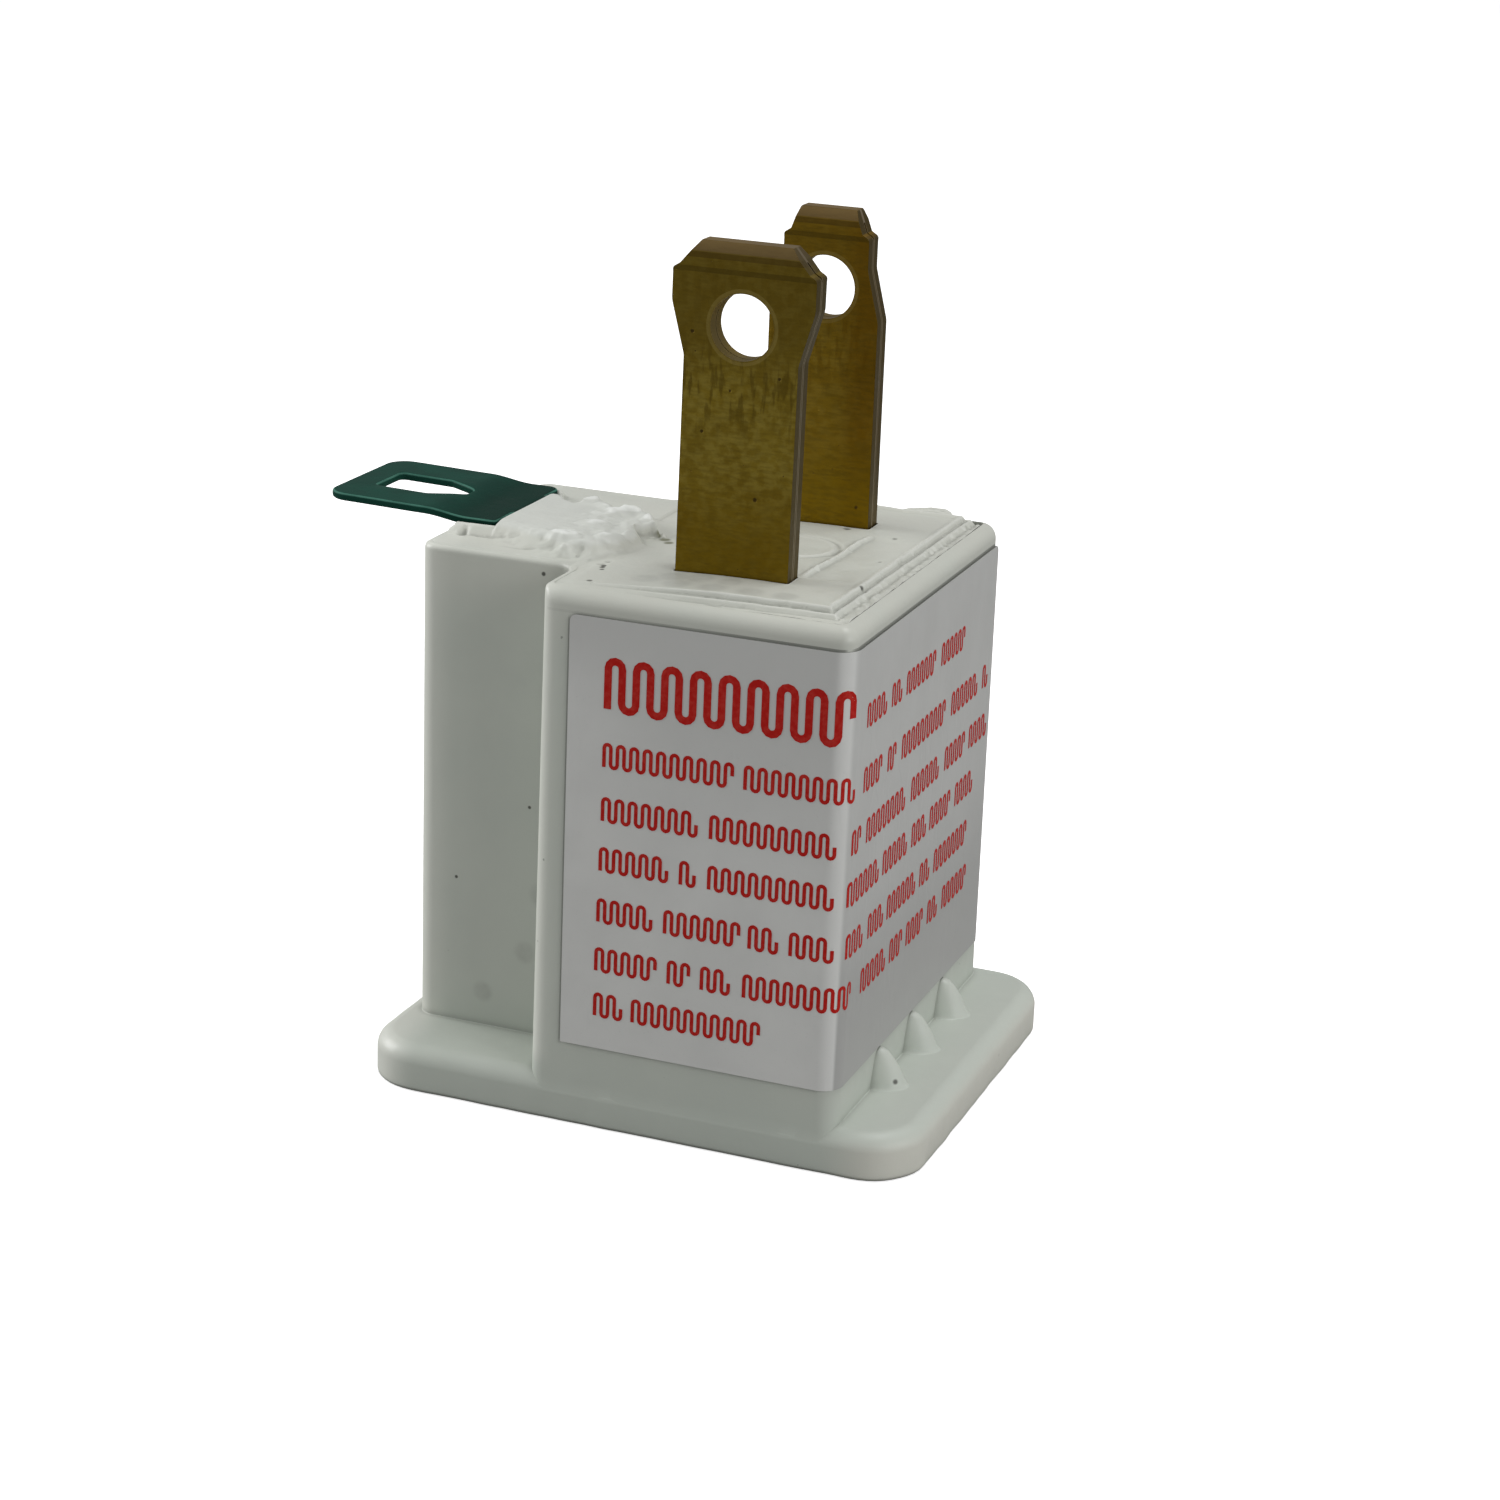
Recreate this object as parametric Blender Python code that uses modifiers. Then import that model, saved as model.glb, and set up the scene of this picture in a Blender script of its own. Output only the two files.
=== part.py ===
"""Grounding plug adapter: a three-hole receptacle that plugs into a two-slot wall outlet.

The adapter stands on its receptacle face with the two blades up. The origin lies on that face, midway
between the blades. +X runs along the face away from the ground hole, +Y away from the wide blade's side,
and +Z out along the blades. All sizes are in metres.
"""

import math
from collections import namedtuple

import bmesh
import bpy
from mathutils import Matrix, Vector

MM = 0.001

# Spacing of the two blades and of the ground hole
BLADE_SPACING = 12.7 * MM
GROUND_OFFSET = 11.9 * MM

# Blades, with heights taken from the cover
BLADE_WIDTH = 6.35 * MM
BLADE_THICKNESS = 1.5 * MM
BLADE_LENGTH = 17.4 * MM
BLADE_HOLE_RISE = 13.1 * MM
BLADE_HOLE_DIAMETER = 3.5 * MM
BLADE_SEAM = 0.06 * MM
HEAD_START = 11.4 * MM
HEAD_FLARE = 2.8 * MM
SHOULDER_RISE = 15.9 * MM
SHOULDER_STEP = 0.4 * MM
NEUTRAL_HEAD_WIDTH = 7.9 * MM
NEUTRAL_TIP_WIDTH = 4.9 * MM
LINE_HEAD_WIDTH = 4.95 * MM
LINE_TIP_WIDTH = 3.2 * MM

# Spring leaves at the inner ends of the blades
LEAF_WIDTH = 5.6 * MM
LEAF_ROOM = 1.8 * MM
LEAF_SPREAD = 1.75 * MM
LEAF_GRIP = 0.55 * MM
LEAF_MOUTH = 1.45 * MM
GRIP_HEIGHT = 8.5 * MM
GRIP_FLAT = 1.0 * MM
GRIP_RAMP = 6.5 * MM
SHANK_RAMP = 3.0 * MM
EAR_WIDTH = 9.4 * MM
EAR_HEIGHT = 1.8 * MM

# Openings in the receptacle face
NEUTRAL_SLOT_LENGTH = 8.8 * MM
LINE_SLOT_LENGTH = 7.1 * MM
FACE_SLOT_WIDTH = 2.3 * MM
GROUND_HOLE_WIDTH = 5.5 * MM
GROUND_HOLE_LENGTH = 6.2 * MM
SLOT_LEAD_IN = 0.5 * MM

# Housing: a block round the blades, a narrower neck round the ground contact, and a flange at the face
BLOCK_LEFT = -8.8 * MM
BLOCK_RIGHT = 9.05 * MM
NECK_END = -17.85 * MM
NECK_HALF_DEPTH = 7.9 * MM
BLOCK_CORNER_ROUND = 1.1 * MM
NECK_CORNER_ROUND = 1.0 * MM
INNER_CORNER_ROUND = 0.5 * MM
RIM_HEIGHT = 30.1 * MM
RIM_ROUND = 0.9 * MM
NECK_RIM_ROUND = 0.3 * MM
DRAFT = math.tan(math.radians(0.45))
FLANGE_LEFT_LIP = 1.25 * MM
FLANGE_RIGHT_LIP = 4.2 * MM
FLANGE_BACK_LIP = 0.85 * MM
FLANGE_THICKNESS = 2.6 * MM
FLANGE_CORNER_ROUND = 3.2 * MM
FLANGE_EDGE_ROUND = 0.75 * MM
FLANGE_FACE_ROUND = 0.2 * MM
COVE_RADIUS = 0.3 * MM
GUSSET_COUNT = 3
GUSSET_PITCH = 5.5 * MM
GUSSET_HEIGHT = 2.0 * MM
GUSSET_DEPTH = 1.85 * MM
GUSSET_HALF_WIDTH = 1.45 * MM
GUSSET_TIP = 0.2

# Inside of the housing
WALL = 2.4 * MM
RIM_WALL = 1.7 * MM
FACE_PLATE = 3.2 * MM
WEB = 1.8 * MM
WELL_PLAY = 0.9 * MM
RIB = 1.3 * MM
POCKET_ROUND = 0.3 * MM

# Cover seated inside the rim on the prong side
COVER_THICKNESS = 2.0 * MM
COVER_STEP = 0.45 * MM
COVER_LEDGE = 0.45 * MM
COVER_SLOPE = 0.25 * MM
COVER_SEAM = 0.1 * MM
PAD_STEP = 0.28 * MM
PAD_END_GAP = 0.2 * MM
PAD_HALF_DEPTH = 6.0 * MM
STEP_CORNER_ROUND = 0.5 * MM

# Weld mound over the root of the ground tab
MOUND_RIGHT = -7.1 * MM
MOUND_FRONT = -6.0 * MM
MOUND_BACK = 4.6 * MM
MOUND_RISE = 1.05 * MM
MOUND_ROUND = 0.9 * MM

# Ground contact
CONTACT_SHEET = 0.5 * MM
SLEEVE_BORE = 4.8 * MM
SLEEVE_HEIGHT = 12.0 * MM
SLEEVE_SPLIT = math.radians(60)
STRAP_WIDTH = 4.4 * MM
STRAP_LAP = 3.6 * MM
STRAP_BEND = 0.8 * MM
STRAP_TOE = 0.5 * MM

# Green ground tab
TAB_THICKNESS = 0.45 * MM
TAB_WIDTH = 8.75 * MM
TAB_END = -25.5 * MM
TAB_ROOT = -14.9 * MM
TAB_INNER_END = -9.6 * MM
TAB_INNER_WIDTH = 4.2 * MM
TAB_JOG_START = -18.2 * MM
TAB_JOG_END = -17.2 * MM
TAB_JOG_RISE = 0.28 * MM
TAB_TIP_RISE = 0.12 * MM
TAB_CORNER_ROUND = 1.3 * MM
TAB_INNER_ROUND = 1.0 * MM
SLOT_START = -23.7 * MM
SLOT_END = -18.6 * MM
SLOT_WIDTH = 3.2 * MM
SLOT_NOSE = 1.9 * MM
SLOT_NOSE_WIDTH = 1.1 * MM

# Rivet
RIVET_X = -12.2 * MM
RIVET_SHANK = 2.2 * MM
RIVET_HEAD = 3.6 * MM
RIVET_HEAD_HEIGHT = 0.22 * MM

# Sticker round the front and right faces
LABEL_LEFT_MARGIN = 2.05 * MM
LABEL_BACK_MARGIN = 1.05 * MM
LABEL_BOTTOM_MARGIN = 2.2 * MM
LABEL_TOP_MARGIN = 1.25 * MM
LABEL_THICKNESS = 0.12 * MM
LABEL_LIFT = 0.05 * MM
LABEL_CORNER_ROUND = 0.9 * MM

# Fits; the flush step keeps two faces that look level out of one plane
CLEARANCE = 0.2 * MM
FLUSH_STEP = 0.03 * MM
OVERRUN = 1.0 * MM
EDGE_BREAK = 0.25 * MM
ARC_STEPS = 6
ROUND_STEPS = 5
HOLE_SIDES = 28

# Sizes and levels that follow
SHEET = (BLADE_THICKNESS - BLADE_SEAM) / 2
HALF_DEPTH = BLADE_SPACING / 2 + LEAF_SPREAD + SHEET / 2 + LEAF_ROOM + WALL
COVER_TOP = RIM_HEIGHT + COVER_STEP
LEDGE_HEIGHT = RIM_HEIGHT - COVER_THICKNESS
COVER_BOTTOM = LEDGE_HEIGHT + CLEARANCE
RIB_TOP = COVER_BOTTOM - CLEARANCE - EAR_HEIGHT
BLADE_TIP = COVER_TOP + BLADE_LENGTH
PAD_TOP = RIM_HEIGHT + PAD_STEP
TAB_BOTTOM = PAD_TOP + CLEARANCE / 4
WALL_FOOT = FLANGE_THICKNESS + COVE_RADIUS
CONTACT_BOTTOM = FACE_PLATE + 2 * CLEARANCE
TAB_TOP = TAB_BOTTOM + TAB_THICKNESS

Blade = namedtuple("Blade", "side middle head_width tip_width slot_length")
BLADES = (
    Blade("neutral", -BLADE_SPACING / 2, NEUTRAL_HEAD_WIDTH, NEUTRAL_TIP_WIDTH, NEUTRAL_SLOT_LENGTH),
    Blade("line", BLADE_SPACING / 2, LINE_HEAD_WIDTH, LINE_TIP_WIDTH, LINE_SLOT_LENGTH),
)

COLLECTION = "grounding_plug_adapter"


def clear_scene():
    """Start from an empty scene with one collection for the pieces and one for the cutters."""
    for item in list(bpy.data.objects):
        bpy.data.objects.remove(item, do_unlink=True)
    for name in (COLLECTION, "cutters"):
        bpy.context.scene.collection.children.link(bpy.data.collections.new(name))


def finish(name, color, roughness, metallic):
    """Principled material of one piece."""
    material = bpy.data.materials.new(name)
    material.use_nodes = True
    shader = material.node_tree.nodes["Principled BSDF"]
    shader.inputs["Base Color"].default_value = (*color, 1.0)
    shader.inputs["Roughness"].default_value = roughness
    shader.inputs["Metallic"].default_value = metallic
    return material


def add_piece(name, mesh, material):
    """Object for a mesh in the adapter's collection."""
    piece = bpy.data.objects.new(name, mesh)
    piece.data.materials.append(material)
    bpy.data.collections[COLLECTION].objects.link(piece)
    return piece


def add_cutter(name, mesh):
    """Helper object that only shapes other pieces."""
    cutter = bpy.data.objects.new(name, mesh)
    cutter.hide_render = True
    cutter.display_type = "WIRE"
    bpy.data.collections["cutters"].objects.link(cutter)
    return cutter


def combine(piece, helper, operation):
    """Boolean modifier that cuts, joins or intersects a piece with a helper solid."""
    modifier = piece.modifiers.new(helper.name, "BOOLEAN")
    modifier.operation = operation
    modifier.solver = "EXACT"
    modifier.object = helper


def mesh_of(form, name, smooth_angle=None):
    """Mesh made from a bmesh, with smooth shading below an angle where one is given."""
    bmesh.ops.recalc_face_normals(form, faces=form.faces)
    mesh = bpy.data.meshes.new(name)
    form.to_mesh(mesh)
    form.free()
    if smooth_angle is not None:
        mesh.shade_smooth()
        mesh.set_sharp_from_angle(angle=math.radians(smooth_angle))
    return mesh


def rounded(corners, steps=ARC_STEPS):
    """Closed outline whose corners (x, y, radius) are rounded by tangent arcs."""
    outline = []
    for index, (x, y, radius) in enumerate(corners):
        corner = Vector((x, y))
        before = (Vector(corners[index - 1][:2]) - corner).normalized()
        after = (Vector(corners[(index + 1) % len(corners)][:2]) - corner).normalized()
        if radius == 0:
            outline.append(corner)
            continue
        half_angle = before.angle(after) / 2
        centre = corner + (before + after).normalized() * radius / math.sin(half_angle)
        start = corner + before * radius / math.tan(half_angle) - centre
        sweep = math.copysign(math.pi - 2 * half_angle, after.cross(before))
        outline += [centre + Matrix.Rotation(sweep * step / steps, 2) @ start for step in range(steps + 1)]
    return outline


def box_outline(left, right, front, back, radius):
    """Rounded rectangle, counter-clockwise."""
    corners = [(left, front), (right, front), (right, back), (left, back)]
    return rounded([(*corner, radius) for corner in corners])


def body_outline(inset, neck_inset=None, flush_inset=None):
    """Plan of block and neck, drawn in by an inset; the neck and the flush front may have their own."""
    if neck_inset is None:
        neck_inset = inset
    if flush_inset is None:
        flush_inset = inset
    left = BLOCK_LEFT + inset
    right = BLOCK_RIGHT - inset
    depth = HALF_DEPTH - flush_inset
    end = NECK_END + neck_inset
    half = NECK_HALF_DEPTH - neck_inset
    block = max(BLOCK_CORNER_ROUND - flush_inset, BLOCK_CORNER_ROUND / 4)
    neck = max(NECK_CORNER_ROUND - neck_inset, NECK_CORNER_ROUND / 4)
    inner = max(INNER_CORNER_ROUND + inset, INNER_CORNER_ROUND / 4)
    return rounded([
        (left, -depth, block), (right, -depth, block), (right, depth, block), (left, depth, block),
        (left, half, inner), (end, half, neck), (end, -half, neck), (left, -half, inner),
    ])


def rim_inset(height, radius):
    """How far a rounded rim edge has drawn in at a height."""
    climb = max(height - (RIM_HEIGHT - radius), 0)
    return radius - math.sqrt(max(radius ** 2 - climb ** 2, 0))


def skin(rings):
    """Closed bmesh skinned over a stack of like outlines, each given with its height."""
    form = bmesh.new()
    loops = [[form.verts.new((x, y, height)) for x, y in outline] for outline, height in rings]
    form.faces.new(loops[0])
    form.faces.new(loops[-1])
    for lower, upper in zip(loops, loops[1:]):
        for index, vertex in enumerate(lower):
            form.faces.new((lower[index - 1], vertex, upper[index], upper[index - 1]))
    return form


def quarter(radius, steps=ROUND_STEPS):
    """Quarter circle from (0, 0) to (radius, radius) as pairs of inward and upward travel."""
    angles = [math.pi / 2 * step / steps for step in range(steps + 1)]
    return [(radius * (1 - math.cos(angle)), radius * math.sin(angle)) for angle in angles]


def plate(name, outlines, thickness, turn):
    """Mesh of a flat plate filled between closed outlines, centred on its plane and turned into place."""
    curve = bpy.data.curves.new(name, "CURVE")
    curve.dimensions = "2D"
    curve.fill_mode = "BOTH"
    curve.extrude = thickness / 2
    for outline in outlines:
        spline = curve.splines.new("POLY")
        spline.points.add(len(outline) - 1)
        for point, (x, y) in zip(spline.points, outline):
            point.co = (x, y, 0, 1)
        spline.use_cyclic_u = True
    sketch = bpy.data.objects.new(name, curve)
    bpy.context.scene.collection.objects.link(sketch)
    graph = bpy.context.evaluated_depsgraph_get()
    mesh = bpy.data.meshes.new_from_object(sketch.evaluated_get(graph))
    bpy.data.objects.remove(sketch, do_unlink=True)
    form = bmesh.new()
    form.from_mesh(mesh)
    bmesh.ops.remove_doubles(form, verts=form.verts, dist=0.001 * MM)
    bmesh.ops.transform(form, matrix=turn, verts=form.verts)
    bpy.data.meshes.remove(mesh)
    return mesh_of(form, name)


def circle(x, y, diameter, sides=HOLE_SIDES):
    """Round hole outline."""
    angles = [math.tau * side / sides for side in range(sides)]
    return [Vector((x + math.cos(a) * diameter / 2, y + math.sin(a) * diameter / 2)) for a in angles]


def swept(name, line, travel):
    """Open surface swept from a line of points along a straight travel."""
    form = bmesh.new()
    verts = [form.verts.new(point) for point in line]
    rail = [form.edges.new(pair) for pair in zip(verts, verts[1:])]
    grown = bmesh.ops.extrude_edge_only(form, edges=rail)
    moved = [item for item in grown["geom"] if isinstance(item, bmesh.types.BMVert)]
    bmesh.ops.translate(form, verts=moved, vec=travel)
    return mesh_of(form, name, 35)


def thicken(piece, thickness):
    """Solidify an open surface evenly to both sides."""
    modifier = piece.modifiers.new("thickness", "SOLIDIFY")
    modifier.thickness = thickness
    modifier.offset = 0
    modifier.use_even_offset = True


def stack(name, rings, smooth_angle=None):
    """Helper solid skinned over a stack of outlines."""
    return add_cutter(name, mesh_of(skin(rings), name, smooth_angle))


def prism(name, outline, bottom, top):
    """Helper solid that stands straight up over one outline."""
    return stack(name, [(outline, bottom), (outline, top)])


def build_housing(material):
    """Moulded receptacle shell: drafted block and neck on a flange, hollow behind a thick face."""
    foot = [(body_outline(-COVE_RADIUS, flush_inset=FLUSH_STEP), FLANGE_THICKNESS / 4)]
    cove = [
        (body_outline(up - COVE_RADIUS, flush_inset=FLUSH_STEP), FLANGE_THICKNESS + across)
        for across, up in quarter(COVE_RADIUS)
    ]
    straight = RIM_HEIGHT - RIM_ROUND
    drawn_in = FLUSH_STEP + DRAFT * (straight - WALL_FOOT)
    rim = [
        (body_outline(drawn_in + across, rim_inset(straight + up, NECK_RIM_ROUND)), straight + up)
        for across, up in quarter(RIM_ROUND)
    ]
    housing = add_piece("housing", mesh_of(skin(foot + cove + rim), "housing", 35), material)

    def flange_ring(inset, height):
        left = NECK_END - FLANGE_LEFT_LIP + inset
        right = BLOCK_RIGHT + FLANGE_RIGHT_LIP - inset
        back = HALF_DEPTH + FLANGE_BACK_LIP - inset
        return box_outline(left, right, inset - HALF_DEPTH, back, FLANGE_CORNER_ROUND - inset), height

    face_edge = [flange_ring(FLANGE_FACE_ROUND - up, across) for across, up in quarter(FLANGE_FACE_ROUND, 3)]
    top_edge = [
        flange_ring(across, FLANGE_THICKNESS - FLANGE_EDGE_ROUND + up)
        for across, up in quarter(FLANGE_EDGE_ROUND)
    ]
    combine(housing, stack("flange", face_edge + top_edge, 35), "UNION")

    for index in range(GUSSET_COUNT):
        form = bmesh.new()
        bmesh.ops.create_cone(form, cap_ends=True, segments=24, radius1=1, radius2=GUSSET_TIP, depth=1)
        bmesh.ops.scale(form, vec=(GUSSET_DEPTH, GUSSET_HALF_WIDTH, GUSSET_HEIGHT), verts=form.verts)
        middle = (index - (GUSSET_COUNT - 1) / 2) * GUSSET_PITCH
        place = (BLOCK_RIGHT, middle, FLANGE_THICKNESS - CLEARANCE + GUSSET_HEIGHT / 2)
        bmesh.ops.translate(form, vec=place, verts=form.verts)
        combine(housing, add_cutter(f"gusset_{index + 1}", mesh_of(form, "gusset", 35)), "UNION")

    cut_housing(housing)


def cut_housing(housing):
    """Cover seat, contact pockets and the three openings in the receptacle face."""
    above = RIM_HEIGHT + OVERRUN
    combine(housing, prism("cover_seat", body_outline(RIM_WALL), LEDGE_HEIGHT, above), "DIFFERENCE")

    left = BLOCK_LEFT + WALL
    right = BLOCK_RIGHT - WALL
    well = LEAF_WIDTH / 2 + WELL_PLAY
    spans = {
        "well": (-well, well, FACE_PLATE, 0),
        "left_core": (left, -well - RIB, FACE_PLATE, 0),
        "right_core": (well + RIB, right, FACE_PLATE, 0),
        "top": (left, right, RIB_TOP, FLUSH_STEP),
    }
    for blade in BLADES:
        sides = sorted(math.copysign(reach, blade.middle) for reach in (WEB / 2, HALF_DEPTH - WALL))
        for part, (start, end, bottom, grow) in spans.items():
            outline = box_outline(
                start - grow, end + grow, sides[0] - grow, sides[1] + grow, POCKET_ROUND,
            )
            combine(housing, prism(f"{blade.side}_{part}", outline, bottom, above), "DIFFERENCE")
    depth = NECK_HALF_DEPTH - WALL
    outline = box_outline(NECK_END + WALL, left - WEB, -depth, depth, POCKET_ROUND)
    combine(housing, prism("ground_pocket", outline, FACE_PLATE, above), "DIFFERENCE")

    for blade in BLADES:
        combine(housing, stack(f"{blade.side}_slot", lead_in(slot_outline, blade)), "DIFFERENCE")
    combine(housing, stack("ground_hole", lead_in(ground_outline)), "DIFFERENCE")


def slot_outline(grow, blade):
    """Slot in the receptacle face that takes a plug blade."""
    reach = blade.slot_length / 2 + grow
    wide = FACE_SLOT_WIDTH / 2 + grow
    return box_outline(-reach, reach, blade.middle - wide, blade.middle + wide, wide / 3)


def ground_outline(grow):
    """D-shaped ground hole, its round side away from the slots."""
    half = GROUND_HOLE_WIDTH / 2 + grow
    left = -GROUND_OFFSET - GROUND_HOLE_LENGTH / 2 - grow
    right = -GROUND_OFFSET + GROUND_HOLE_LENGTH / 2 + grow
    bend = half - CLEARANCE / 4
    return rounded([
        (left, -half, bend), (right, -half, half / 4), (right, half, half / 4), (left, half, bend),
    ])


def lead_in(outline, *shape):
    """Rings of an opening through the face plate, flared at the face."""
    return [
        (outline(SLOT_LEAD_IN + OVERRUN, *shape), -OVERRUN),
        (outline(0, *shape), SLOT_LEAD_IN),
        (outline(0, *shape), FACE_PLATE + OVERRUN),
    ]


def build_cover(material):
    """Prong-side cover: stepped plate in the rim, a pad on the neck and the weld mound over the tab."""
    edge = RIM_WALL + COVER_SEAM
    ledge = edge + COVER_LEDGE
    rings = [
        (body_outline(edge), COVER_BOTTOM),
        (body_outline(edge), RIM_HEIGHT - COVER_SEAM),
        (body_outline(edge + COVER_SEAM), RIM_HEIGHT),
        (body_outline(ledge), RIM_HEIGHT),
    ]
    cover = add_piece("cover", mesh_of(skin(rings), "cover", 30), material)

    block_left = BLOCK_LEFT + ledge
    block_right = BLOCK_RIGHT - ledge
    depth = HALF_DEPTH - ledge

    def field(inset):
        half = depth - inset
        return box_outline(block_left + inset, block_right - inset, -half, half, STEP_CORNER_ROUND)

    rise = [(field(0), RIM_HEIGHT - CLEARANCE), (field(0), RIM_HEIGHT), (field(COVER_SLOPE), COVER_TOP)]
    combine(cover, stack("field", rise), "UNION")

    def pad(left, inset):
        half = PAD_HALF_DEPTH - inset
        return box_outline(left + inset, block_left + OVERRUN - inset, -half, half, STEP_CORNER_ROUND)

    root = NECK_END + edge
    end = NECK_END + PAD_END_GAP
    lip = RIM_HEIGHT + COVER_SEAM
    bevel = (PAD_TOP - lip) / 2
    rise = [
        (pad(root, COVER_SEAM), RIM_HEIGHT - CLEARANCE), (pad(root, COVER_SEAM), lip), (pad(end, 0), lip),
        (pad(end, 0), PAD_TOP - bevel), (pad(end, bevel), PAD_TOP),
    ]
    combine(cover, stack("pad", rise), "UNION")

    def mound(inset):
        left = TAB_ROOT + inset / 4
        return box_outline(left, MOUND_RIGHT - inset, MOUND_FRONT + inset, MOUND_BACK - inset, MOUND_ROUND)

    rise = [
        (mound(0), PAD_TOP - CLEARANCE), (mound(0.2 * MOUND_RISE), PAD_TOP + 0.55 * MOUND_RISE),
        (mound(MOUND_RISE), PAD_TOP + 0.88 * MOUND_RISE), (mound(2 * MOUND_RISE), PAD_TOP + MOUND_RISE),
    ]
    combine(cover, stack("mound", rise), "UNION")
    cut_cover(cover)
    return cover


def cut_cover(cover):
    """Blade slots, and the room for the tab and its rivet."""
    below = COVER_BOTTOM - OVERRUN
    reach = BLADE_WIDTH / 2 + CLEARANCE
    wide = BLADE_THICKNESS / 2 + CLEARANCE
    for blade in BLADES:
        outline = box_outline(-reach, reach, blade.middle - wide, blade.middle + wide, EDGE_BREAK)
        combine(cover, prism(f"{blade.side}_blade_slot", outline, below, COVER_TOP + OVERRUN), "DIFFERENCE")

    room = CLEARANCE / 2
    half = TAB_INNER_WIDTH / 2 + CLEARANCE
    outline = box_outline(TAB_ROOT - OVERRUN, TAB_INNER_END + CLEARANCE, -half, half, EDGE_BREAK)
    combine(cover, prism("tab_room", outline, PAD_TOP - room / 2, TAB_TOP + room), "DIFFERENCE")
    bore = circle(RIVET_X, 0, RIVET_SHANK + 2 * CLEARANCE)
    combine(cover, prism("rivet_bore", bore, below, PAD_TOP + room), "DIFFERENCE")
    head = circle(RIVET_X, 0, RIVET_HEAD + 2 * CLEARANCE)
    combine(cover, prism("rivet_room", head, TAB_BOTTOM, TAB_TOP + RIVET_HEAD_HEIGHT + room), "DIFFERENCE")


def strip_path():
    """Folded strip of a blade as (offset, height): up one layer, round the tip and down the other."""
    layer = (SHEET + BLADE_SEAM) / 2
    grip = LEAF_GRIP + SHEET / 2
    bow = grip + CLEARANCE / 2
    low = GRIP_HEIGHT - GRIP_FLAT / 2
    high = GRIP_HEIGHT + GRIP_FLAT / 2
    half = [
        (LEAF_MOUTH + SHEET / 2, CONTACT_BOTTOM), (bow, low - 1.5 * GRIP_FLAT), (grip, low), (grip, high),
        (bow, high + 1.5 * GRIP_FLAT), (LEAF_SPREAD, high + GRIP_RAMP), (LEAF_SPREAD, RIB_TOP - SHANK_RAMP),
        (layer + CLEARANCE, RIB_TOP), (layer, RIB_TOP + EAR_HEIGHT / 2),
    ]
    fold = BLADE_TIP - layer - SHEET / 2
    angles = [math.pi * step / 8 for step in range(9)]
    turn = [(layer * math.cos(angle), fold + layer * math.sin(angle)) for angle in angles]
    return half + turn + [(-offset, height) for offset, height in reversed(half)]


def blade_outline(blade):
    """Front outline of a blade: contact leaf, retaining ears, shank and shouldered head."""
    body = BLADE_WIDTH / 2
    head = blade.head_width / 2
    leaf = LEAF_WIDTH / 2
    ear = EAR_WIDTH / 2
    ear_bottom = RIB_TOP + CLEARANCE
    ear_top = RIB_TOP + EAR_HEIGHT
    neck = COVER_TOP + HEAD_START
    shoulder = COVER_TOP + SHOULDER_RISE
    right = [
        (leaf, CONTACT_BOTTOM - CLEARANCE, 0), (leaf, ear_bottom, EDGE_BREAK),
        (ear, ear_bottom, EDGE_BREAK / 2), (ear, ear_top, EDGE_BREAK), (body, ear_top, EDGE_BREAK / 2),
        (body, neck, HEAD_FLARE / 3), (head, neck + HEAD_FLARE, HEAD_FLARE / 2), (head, shoulder, EDGE_BREAK),
        (head - SHOULDER_STEP, shoulder + EDGE_BREAK, EDGE_BREAK / 2),
        (blade.tip_width / 2, BLADE_TIP + CLEARANCE / 4, EDGE_BREAK),
    ]
    left = [(-x, y, radius) for x, y, radius in reversed(right)]
    return rounded(right + left, 4)


def build_blade(blade, material):
    """Contact blade: one strip folded double at the tip, whose ends open into two spring leaves."""
    name = f"{blade.side}_blade"
    half = EAR_WIDTH / 2 + OVERRUN
    line = [(-half, offset, height) for offset, height in strip_path()]
    piece = add_piece(name, swept(name, line, (2 * half, 0, 0)), material)
    piece.location = (0, blade.middle, 0)
    thicken(piece, SHEET)
    hole = circle(0, COVER_TOP + BLADE_HOLE_RISE, BLADE_HOLE_DIAMETER)
    upright = Matrix.Rotation(math.pi / 2, 4, "X")
    front = plate("blank", [blade_outline(blade), hole], BLADE_SPACING - WEB, upright)
    blank = add_cutter(f"{blade.side}_blank", front)
    blank.location = piece.location
    combine(piece, blank, "INTERSECT")


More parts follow.
